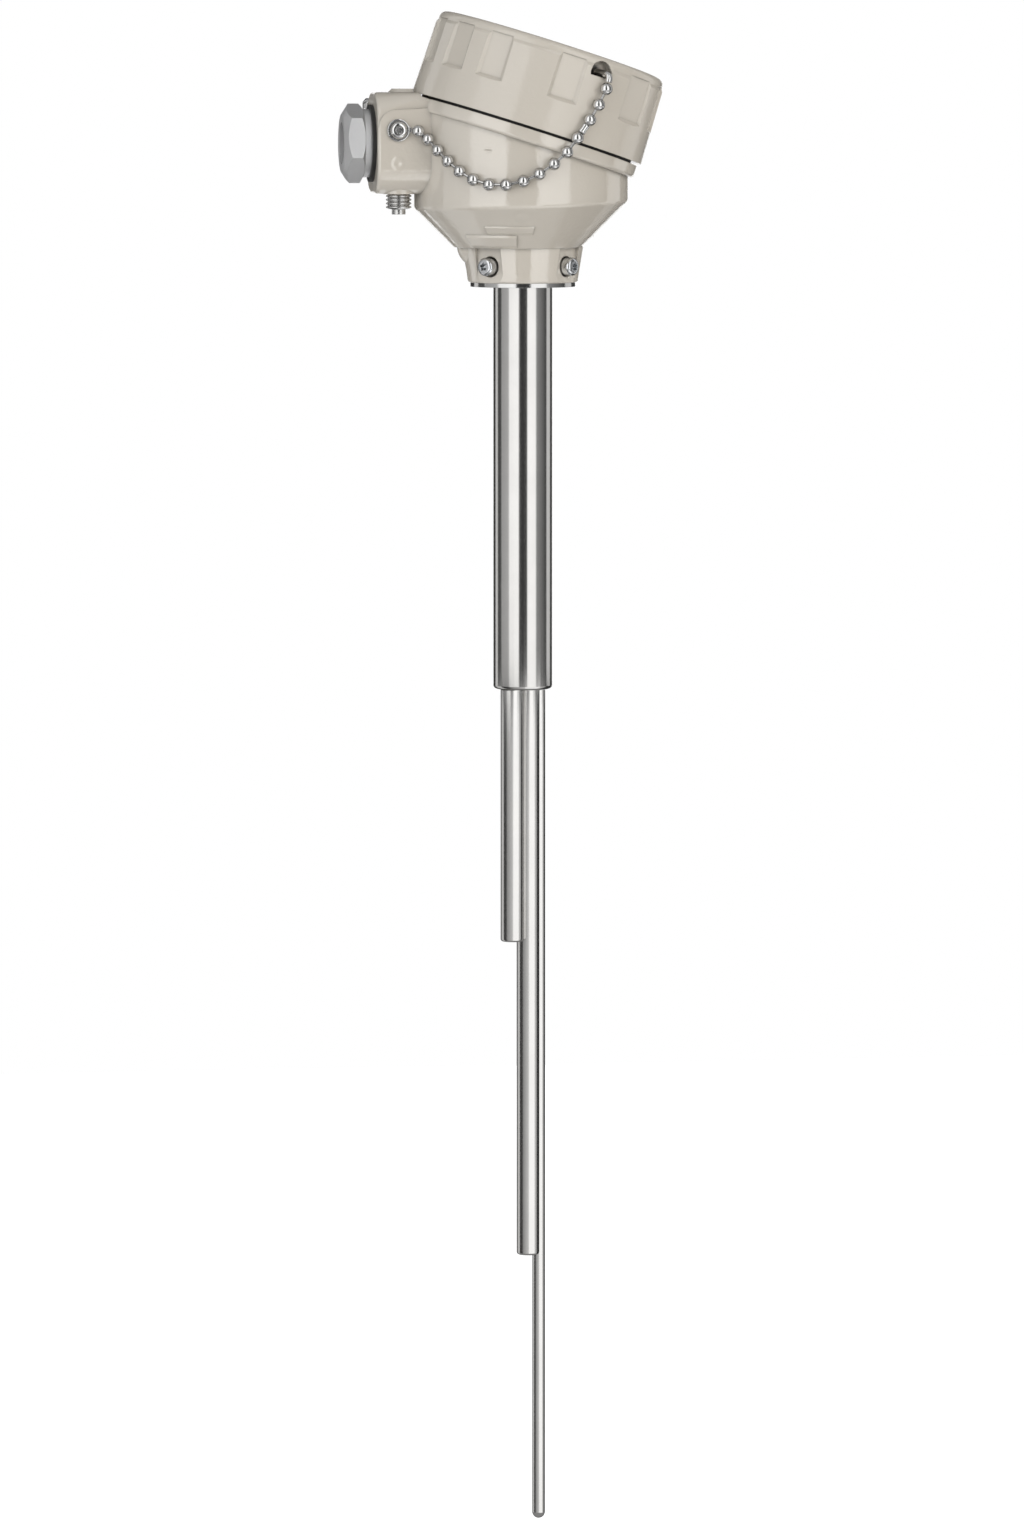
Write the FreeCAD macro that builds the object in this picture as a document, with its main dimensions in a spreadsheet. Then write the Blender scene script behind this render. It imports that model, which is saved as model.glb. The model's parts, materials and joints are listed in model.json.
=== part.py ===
import FreeCAD
import Part
import Sketcher
import math
import os

from FreeCAD import Placement, Rotation, Vector

# Multipoint thermocouple: a cast connection head with a tilted screw lid, an extension tube and three
# closed sheaths of different lengths. Millimetres. The origin is on the stem's axis at the underside of
# the stop washer, +Z is up, the cable entry points along -X and the lid leans towards +X.

doc = FreeCAD.newDocument("multipoint_thermocouple")
sheet = doc.addObject("Spreadsheet::Sheet", "dims")

driving = {
    "tube_radius": (11.0, "extension tube, outside"),
    "tube_length": (149.9, "extension tube below the washer"),
    "tube_bore": (9.8, "extension tube, inside"),
    "tube_floor": (7.0, "closed end of the tube"),
    "tube_edge": (1.4, "rounding of the tube's lower edge"),
    "spigot_radius": (10.8, "part of the tube turned down for the collar"),
    "spigot_top": (20.0, "upper end of the tube in the head"),
    "washer_radius": (19.55, "stop washer, outside"),
    "washer_thickness": (1.6, "stop washer"),
    "collar_bore": (10.95, "bore for the tube's spigot"),
    "collar_foot_radius": (20.4, "collar at its lower edge"),
    "collar_head_radius": (22.5, "collar at its upper edge"),
    "collar_top": (14.6, "height of the collar's upper edge"),
    "collar_edge": (0.8, "rounding of the collar's lower edge"),
    "collar_flat": (20.0, "flat under each set screw, from the axis"),
    "collar_flat_width": (11.6, "flat under each set screw"),
    "cone_foot_radius": (23.9, "cone at the collar"),
    "cone_flare": (1.0125, "growth of the cone's radius with height"),
    "cone_shift": (2.0, "cone's axis, towards the cable entry"),
    "ledge_root": (18.0, "inner edge of the cast ledges, within the cone"),
    "lobe_place": (16.3, "round lobe over the collar, from the stem's axis"),
    "lobe_height": (15.2, "centre of the lobe"),
    "lobe_radius": (8.3, "lobe"),
    "drum_radius": (39.8, "drum"),
    "drum_shift": (0.7, "drum's axis, towards the cable entry"),
    "drum_edge": (2.6, "rounding between cone and drum"),
    "cavity_floor": (19.0, "floor of the terminal chamber"),
    "cavity_foot_radius": (21.0, "chamber at its floor"),
    "cavity_radius": (34.5, "chamber in the drum"),
    "cavity_shoulder": (33.2, "height where the chamber is full width"),
    "blank_top": (76.0, "height of the drum before it is cut at the seam"),
    "lid_tilt": (17.7, "tilt of the lid's axis from the stem's axis"),
    "seam_x": (1.2, "centre of the seam"),
    "seam_z": (57.9, "centre of the seam"),
    "seam_gap": (1.0, "gap between rim and lid"),
    "lid_room": (1.2, "room in the boss round the lid's edge"),
    "rim_radius": (43.3, "rim flange of the head"),
    "rim_height": (4.8, "rim flange of the head"),
    "rim_edge": (1.2, "rounding of the rim's lower edge"),
    "rim_bore": (36.2, "bore for the lid's spigot"),
    "rim_depth": (10.0, "depth of that bore below the seam"),
    "lid_radius": (44.6, "lid at the seam"),
    "lid_shoulder": (44.0, "lid at the top of its lands"),
    "lid_height": (32.25, "lid above the seam"),
    "lid_crown": (0.8, "rise of the lid's top towards its middle"),
    "lid_edge": (2.4, "rounding of the lid's top edge"),
    "land_top": (28.3, "top of the lands between the recesses, above the seam"),
    "band_radius": (43.4, "band round the lid above the lands"),
    "band_step": (1.1, "slope from the lands to the band"),
    "lid_roof": (4.0, "thickness of the lid's top"),
    "lid_cheek": (39.8, "inside of the lid's wall"),
    "cheek_foot": (5.0, "lower end of that inside, above the seam"),
    "mouth_head": (3.4, "upper end of the spigot's inside, above the seam"),
    "lid_spigot": (35.7, "threaded spigot, outside"),
    "lid_mouth": (32.3, "threaded spigot, inside"),
    "lid_reach": (7.0, "spigot below the seam"),
    "gasket_radius": (40.6, "seam gasket, outside"),
    "recess_floor": (42.9, "flat floor of a grip recess, from the lid's axis"),
    "recess_foot": (12.7, "foot of a grip recess above the seam"),
    "recess_bevel": (1.3, "depth of a grip recess and slope of its foot"),
    "recess_flank": (1.8, "width of a grip recess's sloping side"),
    "pocket_azimuth": (19.3, "chain pocket, from the front towards +X"),
    "pocket_rise": (27.0, "chain pocket above the seam"),
    "pocket_radius": (4.3, "chain pocket"),
    "pocket_floor": (38.6, "floor of the pocket, from the lid's axis"),
    "pocket_sill": (1.6, "straight lower edge of the pocket, below its centre"),
    "lug_wall": (2.6, "wall of the pocket's lug inside the lid"),
    "boss_reach": (56.2, "end face of the entry boss"),
    "boss_half": (17.8, "half width of the entry boss"),
    "boss_foot": (34.5, "underside of the entry boss"),
    "boss_head": (72.0, "top of the entry boss"),
    "boss_corner": (6.0, "upper corners of the boss near the drum"),
    "boss_end_corner": (12.5, "upper corners of the boss at its end"),
    "boss_keel": (11.0, "lower corners of the boss"),
    "boss_blend": (43.0, "place where the corners change"),
    "boss_edge": (1.2, "rounding of the boss's end"),
    "pad_place": (43.4, "round pad on the boss, from the stem's axis"),
    "pad_radius": (7.0, "pad at its foot"),
    "pad_face": (5.6, "pad at its top"),
    "pad_height": (1.25, "pad above the boss"),
    "arch_step": (0.8, "step back of the boss's front above its arch"),
    "arch_x": (49.4, "centre of the arch's round end, from the stem's axis"),
    "arch_z": (59.2, "centre of the arch's round end"),
    "arch_radius": (6.4, "round end of the arch"),
    "arch_rise": (66.4, "arch at the drum"),
    "entry_height": (53.1, "axis of the cable entry"),
    "entry_bore": (10.1, "threaded bore of the entry"),
    "entry_seat": (38.0, "shoulder for the sealing grommet"),
    "cable_bore": (7.8, "way through for the cable"),
    "seal_bore": (8.4, "bore of the grommet and of its thrust washer"),
    "nut_flats": (25.7, "hexagon across flats"),
    "nut_turn": (9.5, "turn of the hexagon as it is tightened"),
    "nut_end": (67.7, "outer end of the nut"),
    "nut_shoulder": (60.0, "inner end of the hexagon"),
    "nut_neck_radius": (12.6, "round neck of the nut"),
    "nut_spigot": (9.7, "threaded spigot of the nut"),
    "nut_tip": (47.5, "inner end of the nut"),
    "nut_face": (10.8, "flat ring on the nut's outer end"),
    "nut_chamfer": (3.0, "length of the nut's outer chamfer at its corners"),
    "ring_thickness": (1.4, "black sealing ring"),
    "ring_radius": (14.3, "black sealing ring"),
    "stud_place": (47.25, "earth stud, from the stem's axis"),
    "stud_front": (6.8, "earth stud, from the stem's axis towards the front"),
    "stud_seat": (5.9, "round seat of the stud under the boss"),
    "stud_radius": (4.7, "earth stud over its thread"),
    "stud_pitch": (1.38, "earth stud"),
    "stud_pilot": (2.55, "unthreaded tip of the earth stud"),
    "set_screw_height": (7.7, "set screws above the washer's underside"),
    "set_screw_head": (3.35, "set screw's head"),
    "set_screw_well": (3.9, "counterbore round the head"),
    "set_screw_stand": (24.0, "outer end of the head, from the axis"),
    "set_screw_shank": (2.5, "set screw's shank"),
    "set_screw_seat": (16.5, "underside of the head, from the axis"),
    "set_screw_dome": (1.3, "rounding of the set screw's head"),
    "set_socket_radius": (1.9, "star socket of a set screw"),
    "set_socket_depth": (1.6, "star socket of a set screw"),
    "small_hole": (1.6, "tapped holes of the chain screw and the earth screw"),
    "small_depth": (6.0, "depth of those holes"),
    "small_shank": (1.5, "shank of the chain screw and the earth screw"),
    "small_length": (5.0, "length of those shanks"),
    "chain_screw_place": (48.75, "chain screw, from the stem's axis"),
    "chain_screw_height": (58.1, "chain screw"),
    "chain_screw_head": (3.2, "chain screw's head"),
    "chain_screw_rise": (2.1, "chain screw's head above the eyelet"),
    "chain_screw_dome": (1.5, "rounding of the chain screw's head"),
    "chain_socket_radius": (1.5, "star socket of the chain screw"),
    "chain_socket_depth": (1.2, "star socket of the chain screw"),
    "earth_aside": (12.0, "earth screw, from the entry's axis towards the rear"),
    "earth_height": (66.7, "earth screw"),
    "earth_screw_head": (2.9, "earth screw's head"),
    "earth_screw_rise": (2.0, "earth screw's head above the boss's end"),
    "earth_socket_radius": (1.3, "star socket of the earth screw"),
    "earth_socket_depth": (1.1, "star socket of the earth screw"),
    "eyelet_radius": (4.2, "chain eyelet"),
    "eyelet_plate": (1.4, "thickness of the chain eyelet"),
    "eyelet_hole": (1.75, "hole of the chain eyelet"),
    "eyelet_edge": (0.4, "rounding of the chain eyelet"),
    "tongue_reach": (4.9, "tongue of the chain eyelet"),
    "bead_radius": (2.3, "chain bead"),
    "bead_pitch": (6.46, "chain bead to bead"),
    "bead_lead": (4.7, "first bead to second bead"),
    "link_radius": (0.55, "chain link"),
    "sleeve_radius": (1.5, "closing sleeve of the chain"),
    "sleeve_length": (3.6, "closing sleeve of the chain"),
    "hook_radius": (1.3, "wire hook of the chain"),
    "hook_aside": (2.2, "sideways step of the hook out of its pocket"),
    "hook_root": (2.8, "hook in the lug, behind the pocket's floor"),
    "hook_turn": (1.6, "straight start of the hook before the pocket's floor"),
    "hook_stand": (2.2, "knee of the hook outside the lid"),
    "hook_bend": (1.9, "bends of the hook"),
    "sheath_radius": (4.25, "short and middle sheath"),
    "rod_radius": (2.4, "long sheath"),
    "short_end": (244.2, "tip of the short sheath below the origin"),
    "middle_end": (363.2, "tip of the middle sheath below the origin"),
    "long_end": (464.5, "tip of the long sheath below the origin"),
    "sheath_wall": (1.6, "wall of a sheath"),
    "sheath_edge": (1.0, "rounding of a sheath's tip"),
    "sheath_step": (1.2, "step of a sheath where it enters the tube's floor"),
    "sheath_tip": (3.0, "closed tip of a sheath"),
    "element_top": (24.0, "upper end of the elements"),
    "seal_foot": (8.0, "underside of the potting seal"),
    "seal_height": (8.0, "potting seal"),
    "base_radius": (28.0, "terminal block"),
    "base_foot": (36.0, "underside of the terminal block"),
    "base_thickness": (10.0, "terminal block"),
    "base_hole": (10.5, "way through for the wires"),
    "base_screw_place": (22.0, "screws of the terminal block, from the axis"),
    "base_screw_shank": (1.6, "screw of the terminal block"),
    "base_screw_length": (8.0, "its shank below the block"),
    "base_screw_head": (3.5, "its head"),
    "base_screw_rise": (2.6, "its head above the block"),
    "pillar_radius": (4.6, "pillars under the terminal block"),
    "pillar_foot": (18.5, "pillars begin just under the chamber's floor"),
    "clamp_place": (19.0, "terminal clamps, from the axis"),
    "clamp_length": (9.0, "terminal clamp, along the radius"),
    "clamp_width": (8.0, "terminal clamp"),
    "clamp_height": (8.0, "terminal clamp"),
    "terminal_shank": (1.6, "terminal screw"),
    "terminal_tip": (4.2, "tip of a terminal screw above the block"),
    "terminal_head": (3.2, "terminal screw's head"),
    "terminal_rise": (2.0, "terminal screw's head above the clamp"),
    "wire_radius": (0.6, "thermocouple wire"),
    "wire_rise": (3.0, "wires above the terminal block"),
    "wire_bend": (1.5, "bends of the wires"),
    "wire_turn": (12.0, "place where the wires turn outwards, from the axis"),
    "wire_grip": (2.5, "length of a wire's end in its clamp"),
}

for row, (alias, (value, note)) in enumerate(driving.items(), 1):
    sheet.set("A%d" % row, note)
    sheet.set("B%d" % row, str(value))
    sheet.setAlias("B%d" % row, alias)
doc.recompute()

nodes = []


def size(alias):
    return float(sheet.get(alias))


def node(item, label):
    item.Label = label
    nodes.append(item)
    return item


def place(item, x="0", y="0", z="0", axis="0; 0; 1", angle="0"):
    item.setExpression(
        "Placement",
        "create(<<placement>>; create(<<vector>>; %s; %s; %s); "
        "create(<<rotation>>; create(<<vector>>; %s); %s))" % (x, y, z, axis, angle),
    )
    return item


def on_seam(item, rise="0"):
    return place(
        item,
        x="dims.seam_x + (%s) * sin(dims.lid_tilt)" % rise,
        z="dims.seam_z + (%s) * cos(dims.lid_tilt)" % rise,
        axis="0; 1; 0",
        angle="dims.lid_tilt",
    )


def on_entry(item):
    return place(item, z="dims.entry_height", axis="0; 1; 0", angle="-90")


def origin_plane(body, role):
    return [part for part in body.Origin.OriginFeatures if part.Role == role][0]


def new_sketch(body, name, role, offset=None):
    sketch = body.newObject("Sketcher::SketchObject", name)
    sketch.AttachmentSupport = [(origin_plane(body, role), "")]
    sketch.MapMode = "FlatFace"
    if offset:
        sketch.setExpression("AttachmentOffset.Base.z", offset)
    return sketch


def drive(sketch, kind, geometry, point, start, expression):
    index = sketch.addConstraint(Sketcher.Constraint(kind, -1, 1, geometry, point, start))
    sketch.setExpression("Constraints[%d]" % index, expression)


def draw_outline(sketch, outline):
    count = len(outline)
    rough = [
        Vector(60 + 30 * math.cos(2 * math.pi * i / count), 30 * math.sin(2 * math.pi * i / count), 0)
        for i in range(count)
    ]
    for i in range(count):
        sketch.addGeometry(Part.LineSegment(rough[i], rough[(i + 1) % count]), False)
    for i in range(count):
        sketch.addConstraint(Sketcher.Constraint("Coincident", i, 2, (i + 1) % count, 1))
    for i, (across, up) in enumerate(outline):
        drive(sketch, "DistanceX", i, 1, rough[i].x, across)
        drive(sketch, "DistanceY", i, 1, rough[i].y, up)


def turned(name, outline, angle=360):
    body = doc.addObject("PartDesign::Body", name)
    sketch = new_sketch(body, name + "_outline", "XZ_Plane")
    draw_outline(sketch, outline)
    turn = body.newObject("PartDesign::Revolution", name + "_turn")
    turn.Profile = sketch
    turn.ReferenceAxis = (sketch, ["V_Axis"])
    turn.Angle = angle
    doc.recompute()
    return body


def ring_edges(feature, radius, height):
    names = []
    for number, edge in enumerate(feature.Shape.Edges, 1):
        curve = edge.Curve
        if not isinstance(curve, Part.Circle):
            continue
        if abs(curve.Radius - radius) < 0.02 and abs(curve.Center.z - height) < 0.02:
            names.append("Edge%d" % number)
    return names


def round_rings(body, radius, rings):
    base = body.Tip
    edges = []
    for ring_radius, height in rings:
        edges += ring_edges(base, ring_radius, height)
    rounding = body.newObject("PartDesign::Fillet", body.Name + "_rounding")
    rounding.Base = (base, edges)
    rounding.setExpression("Radius", radius)
    doc.recompute()
    return body


def cylinder(name, radius, height):
    item = doc.addObject("Part::Cylinder", name)
    item.setExpression("Radius", radius)
    item.setExpression("Height", height)
    return item


def box(name, length, width, height):
    item = doc.addObject("Part::Box", name)
    item.setExpression("Length", length)
    item.setExpression("Width", width)
    item.setExpression("Height", height)
    return item


def fuse(name, items):
    item = doc.addObject("Part::MultiFuse", name)
    item.Shapes = items
    item.Refine = True
    return item


def cut(name, base, tool):
    item = doc.addObject("Part::Cut", name)
    item.Base = base
    item.Tool = tool
    item.Refine = True
    return item


def common(name, items):
    item = doc.addObject("Part::MultiCommon", name)
    item.Shapes = items
    return item


def group(name, items):
    item = doc.addObject("Part::Compound", name)
    item.Links = items
    return item


def mirrored(name, item):
    other = doc.addObject("Part::Mirroring", name)
    other.Source = item
    other.Normal = Vector(1, 0, 0)
    return other


# Stem: washer, tube, sheaths and the elements inside them.

stop_washer = turned("washer", [
    ("dims.collar_bore", "0"),
    ("dims.washer_radius", "0"),
    ("dims.washer_radius", "dims.washer_thickness"),
    ("dims.collar_bore", "dims.washer_thickness"),
])
node(stop_washer, "stop_washer")

sheath_places = {
    "short": Vector(-4.70, -4.76, 0),
    "middle": Vector(2.07, 0.45, 0),
    "long": Vector(6.80, 5.17, 0),
}
sheath_sizes = {
    "short": ("dims.sheath_radius", "dims.short_end", "dims.sheath_edge"),
    "middle": ("dims.sheath_radius", "dims.middle_end", "dims.sheath_edge"),
    "long": ("dims.rod_radius", "dims.long_end", "dims.rod_radius - 0.1"),
}
fit_gap = 0.1

tube_blank = turned("tube_blank", [
    ("0", "-dims.tube_length"),
    ("dims.tube_radius", "-dims.tube_length"),
    ("dims.tube_radius", "0"),
    ("dims.spigot_radius", "0"),
    ("dims.spigot_radius", "dims.spigot_top"),
    ("dims.tube_bore", "dims.spigot_top"),
    ("dims.tube_bore", "-dims.tube_length + dims.tube_floor"),
    ("0", "-dims.tube_length + dims.tube_floor"),
])
round_rings(tube_blank, "dims.tube_edge", [(size("tube_radius"), -size("tube_length"))])

socket_tools = []
for point, spot in sheath_places.items():
    outside = sheath_sizes[point][0]
    bore = "%s - dims.sheath_step + %g" % (outside, fit_gap)
    tool = cylinder(point + "_socket", bore, "dims.tube_floor + 2")
    place(tool, x="%g" % spot.x, y="%g" % spot.y, z="-dims.tube_length - 1")
    socket_tools.append(tool)
extension_tube = cut("tube_drilled", tube_blank, fuse("tube_sockets", socket_tools))
node(extension_tube, "extension_tube")

for point, spot in sheath_places.items():
    outside, end, edge = sheath_sizes[point]
    inside = "%s - dims.sheath_wall" % outside
    neck = "%s - dims.sheath_step" % outside
    tip_wall = "-%s + dims.sheath_tip" % end
    sheath = turned(point + "_tube", [
        ("0", "-%s" % end),
        (outside, "-%s" % end),
        (outside, "-dims.tube_length"),
        (neck, "-dims.tube_length"),
        (neck, "-dims.tube_length + dims.tube_floor"),
        (inside, "-dims.tube_length + dims.tube_floor"),
        (inside, tip_wall),
        ("0", tip_wall),
    ])
    radius = size("rod_radius") if point == "long" else size("sheath_radius")
    round_rings(sheath, edge, [(radius, -size(point + "_end"))])
    place(sheath, x="%g" % spot.x, y="%g" % spot.y)
    node(sheath, point + "_sheath")

    reach = "%s + dims.element_top - dims.sheath_tip" % end
    element = cylinder(point + "_core", "%s - %g" % (inside, fit_gap), reach)
    place(element, x="%g" % spot.x, y="%g" % spot.y, z=tip_wall)
    node(element, point + "_element")

seal_holes = []
for point, spot in sheath_places.items():
    inside = "%s - dims.sheath_wall" % sheath_sizes[point][0]
    hole = cylinder(point + "_seal_hole", inside, "dims.seal_height + 4")
    place(hole, x="%g" % spot.x, y="%g" % spot.y, z="dims.seal_foot - 2")
    seal_holes.append(hole)
seal_blank = cylinder("seal_blank", "dims.tube_bore - %g" % fit_gap, "dims.seal_height")
place(seal_blank, z="dims.seal_foot")
node(cut("seal", seal_blank, fuse("seal_hole_set", seal_holes)), "potting_seal")

# Head casting: collar on the stem's axis, cone and drum a little off it towards the cable entry, with
# the tilted rim, the entry boss, its top pad, the cast ledges over the collar and the lobe behind it.

collar = turned("collar", [
    ("0", "dims.washer_thickness"),
    ("dims.collar_foot_radius", "dims.washer_thickness"),
    ("dims.collar_head_radius", "dims.collar_top"),
    ("dims.collar_bore + 8", "dims.collar_top + 4"),
    ("0", "dims.collar_top + 4"),
])
round_rings(collar, "dims.collar_edge", [(size("collar_foot_radius"), size("washer_thickness"))])

cone_reach = 30
cone_rim = "dims.cone_foot_radius + %d * dims.cone_flare" % cone_reach
cone = turned("cone", [
    ("0", "dims.collar_top"),
    ("dims.cone_foot_radius", "dims.collar_top"),
    (cone_rim, "dims.collar_top + %d" % cone_reach),
    (cone_rim, "dims.blank_top"),
    ("0", "dims.blank_top"),
])
place(cone, x="-dims.cone_shift")
shell = cylinder("shell", "dims.drum_radius", "dims.blank_top - 1")
place(shell, x="-dims.drum_shift", z="1")
drum_sharp = common("drum_sharp", [cone, shell])
doc.recompute()
drum = doc.addObject("Part::Fillet", "drum")
drum.Base = drum_sharp
drum.Edges = [
    (number, size("drum_edge"), size("drum_edge"))
    for number, edge in enumerate(drum_sharp.Shape.Edges, 1)
    if edge.BoundBox.ZMin > size("collar_top") + 5 and edge.BoundBox.ZMax < size("blank_top") - 5
]
rim = turned("rim", [
    ("0", "0"),
    ("dims.rim_radius", "0"),
    ("dims.rim_radius", "dims.rim_height"),
    ("0", "dims.rim_height"),
])
round_rings(rim, "dims.rim_edge", [(size("rim_radius"), 0)])
on_seam(rim, "-dims.seam_gap / 2 - dims.rim_height")


def rounded_section(sketch, corner):
    # Half widths run along the sketch's x, heights along its y. The upper corners carry their own radius.
    wide = size("boss_half")
    low = size("boss_foot")
    high = size("boss_head")
    upper = size(corner)
    lower = size("boss_keel")
    up = Vector(0, 0, 1)
    corners = [
        (Vector(wide - lower, low + lower, 0), lower, -90),
        (Vector(wide - upper, high - upper, 0), upper, 0),
        (Vector(upper - wide, high - upper, 0), upper, 90),
        (Vector(lower - wide, low + lower, 0), lower, 180),
    ]
    arcs = []
    for centre, radius, start in corners:
        first = math.radians(start)
        arc = Part.ArcOfCircle(Part.Circle(centre, up, radius), first, first + math.pi / 2)
        arcs.append(sketch.addGeometry(arc, False))
    ends = [sketch.Geometry[index] for index in arcs]
    for i, arc in enumerate(arcs):
        following = (i + 1) % 4
        line = sketch.addGeometry(Part.LineSegment(ends[i].EndPoint, ends[following].StartPoint), False)
        sketch.addConstraint(Sketcher.Constraint("Tangent", arc, 2, line, 1))
        sketch.addConstraint(Sketcher.Constraint("Tangent", line, 2, arcs[following], 1))
    radii = ["dims.boss_keel", "dims." + corner, "dims." + corner, "dims.boss_keel"]
    sides = ["dims.boss_half", "dims.boss_half", "-dims.boss_half", "-dims.boss_half"]
    levels = ["dims.boss_foot", "dims.boss_head", "dims.boss_head", "dims.boss_foot"]
    signs = [("-", "+"), ("-", "-"), ("+", "-"), ("+", "+")]
    for i, arc in enumerate(arcs):
        index = sketch.addConstraint(Sketcher.Constraint("Radius", arc, corners[i][1]))
        sketch.setExpression("Constraints[%d]" % index, radii[i])
        across, rise = signs[i]
        centre = corners[i][0]
        drive(sketch, "DistanceX", arc, 3, centre.x, "%s %s %s" % (sides[i], across, radii[i]))
        drive(sketch, "DistanceY", arc, 3, centre.y, "%s %s %s" % (levels[i], rise, radii[i]))


boss = doc.addObject("PartDesign::Body", "boss")
end_section = new_sketch(boss, "boss_end_section", "YZ_Plane", "-dims.boss_reach")
rounded_section(end_section, "boss_end_corner")
blend_section = new_sketch(boss, "boss_blend_section", "YZ_Plane", "-dims.boss_blend")
rounded_section(blend_section, "boss_corner")
flare = boss.newObject("PartDesign::AdditiveLoft", "boss_flare")
flare.Profile = end_section
flare.Sections = [blend_section]
flare.Ruled = True
root_section = new_sketch(boss, "boss_root_section", "YZ_Plane", "-dims.boss_blend")
rounded_section(root_section, "boss_corner")
root = boss.newObject("PartDesign::Pad", "boss_root")
root.Profile = root_section
root.Length = 20
doc.recompute()
end_edges = [
    "Edge%d" % number
    for number, edge in enumerate(root.Shape.Edges, 1)
    if edge.BoundBox.XMax < -size("boss_reach") + 0.01
]
end_rounding = boss.newObject("PartDesign::Fillet", "boss_rounding")
end_rounding.Base = (root, end_edges)
end_rounding.setExpression("Radius", "dims.boss_edge")
doc.recompute()

# The front of the boss steps back above an arch that rises from the end face to the drum.

arch = doc.addObject("PartDesign::Body", "arch")
arch_sketch = new_sketch(arch, "arch_outline", "XZ_Plane", "dims.boss_half - dims.arch_step")
arch_points = [("-dims.boss_reach - 5", "dims.arch_z")]
for turn in range(180, 89, -10):
    across = "-dims.arch_x + dims.arch_radius * %.4f" % math.cos(math.radians(turn))
    arch_points.append((across, "dims.arch_z + dims.arch_radius * %.4f" % math.sin(math.radians(turn))))
arch_points += [
    ("-dims.drum_radius + 6", "dims.arch_rise"),
    ("-dims.drum_radius + 6", "dims.boss_head + 5"),
    ("-dims.boss_reach - 5", "dims.boss_head + 5"),
]
draw_outline(arch_sketch, arch_points)
arch_pad = arch.newObject("PartDesign::Pad", "arch_pad")
arch_pad.Profile = arch_sketch
arch_pad.Length = 4
doc.recompute()
stepped_boss = cut("stepped_boss", boss, arch)

stud_seat = cylinder("stud_seat_round", "dims.stud_seat", "12")
place(stud_seat, x="-dims.stud_place", y="-dims.stud_front", z="dims.boss_foot")

top_pad = turned("top_pad", [
    ("0", "dims.boss_head - 4"),
    ("dims.pad_radius", "dims.boss_head - 4"),
    ("dims.pad_radius", "dims.boss_head"),
    ("dims.pad_face", "dims.boss_head + dims.pad_height"),
    ("0", "dims.boss_head + dims.pad_height"),
])
place(top_pad, x="-dims.pad_place")

lobe = doc.addObject("Part::Sphere", "collar_lobe")
lobe.setExpression("Radius", "dims.lobe_radius")
place(lobe, x="-dims.lobe_place", z="dims.lobe_height")


def cone_ledge(name, foot, height, stand, start, sweep):
    # A step that stands out from the cone by the same amount all along, on the cone's own axis.
    levels = [(0, 0.2 * stand), (0.2 * height, stand), (0.8 * height, stand), (height, 0.2 * stand)]
    outline = [("dims.ledge_root", "dims.collar_top + %g" % foot)]
    for level, out in levels:
        rise = foot + level
        outline.append((
            "dims.cone_foot_radius + %g * dims.cone_flare + %g" % (rise, out),
            "dims.collar_top + %g" % rise,
        ))
    outline.append(("dims.ledge_root", "dims.collar_top + %g" % (foot + height)))
    step = turned(name, outline, sweep)
    return place(step, x="-dims.cone_shift", angle="%g" % start)


ledge = cone_ledge("ledge", foot=0.0, height=5.0, stand=1.1, start=-138.6, sweep=40.2)
cast_line = cone_ledge("cast_line", foot=5.2, height=3.2, stand=0.7, start=-119.8, sweep=33.0)

casting = fuse("casting", [collar, drum, rim, stepped_boss, stud_seat, top_pad, lobe, ledge, cast_line])

# Room taken out of the casting.

above_seam = cylinder("above_seam", "dims.lid_radius + dims.lid_room", "60")
on_seam(above_seam, "-dims.seam_gap / 2")
below_bore = on_seam(cylinder("below_bore", "120", "140"), "-140 - dims.rim_depth + 0.5")
chamber_blank = turned("chamber_blank", [
    ("0", "dims.cavity_floor"),
    ("dims.cavity_foot_radius", "dims.cavity_floor"),
    ("dims.cavity_radius", "dims.cavity_shoulder"),
    ("dims.cavity_radius", "dims.blank_top"),
    ("0", "dims.blank_top"),
])
chamber = common("chamber", [chamber_blank, below_bore])
mouth = on_seam(cylinder("mouth", "dims.rim_bore", "dims.rim_depth + 6"), "-dims.rim_depth")
stem_bore = cylinder("stem_bore", "dims.collar_bore", "dims.cavity_floor + 2")
entry = on_entry(turned("entry", [
    ("0", "dims.cavity_radius - 6"),
    ("dims.cable_bore + 0.2", "dims.cavity_radius - 6"),
    ("dims.cable_bore + 0.2", "dims.entry_seat"),
    ("dims.entry_bore", "dims.entry_seat"),
    ("dims.entry_bore", "dims.boss_reach + 2"),
    ("0", "dims.boss_reach + 2"),
]))
stud_hole = place(
    cylinder("stud_hole", "dims.stud_pilot + %g" % fit_gap, "8"),
    x="-dims.stud_place",
    y="-dims.stud_front",
    z="dims.boss_foot - 2",
)
chain_screw_hole = place(
    cylinder("chain_screw_hole", "dims.small_hole", "dims.small_depth + 2"),
    x="-dims.chain_screw_place",
    y="-dims.boss_half - 2",
    z="dims.chain_screw_height",
    axis="1; 0; 0",
    angle="-90",
)
earth_hole = place(
    cylinder("earth_hole", "dims.small_hole", "dims.small_depth + 2"),
    x="-dims.boss_reach + dims.small_depth",
    y="dims.earth_aside",
    z="dims.earth_height",
    axis="0; 1; 0",
    angle="-90",
)


def aim_set_screw(item):
    # Local +Z points outwards from the stem's axis at 45 degrees between the front and +X.
    turn = Rotation(Vector(0, 0, 1), Vector(1, -1, 0))
    item.Placement = Placement(Vector(0, 0, size("set_screw_height")), turn)
    return item


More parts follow.
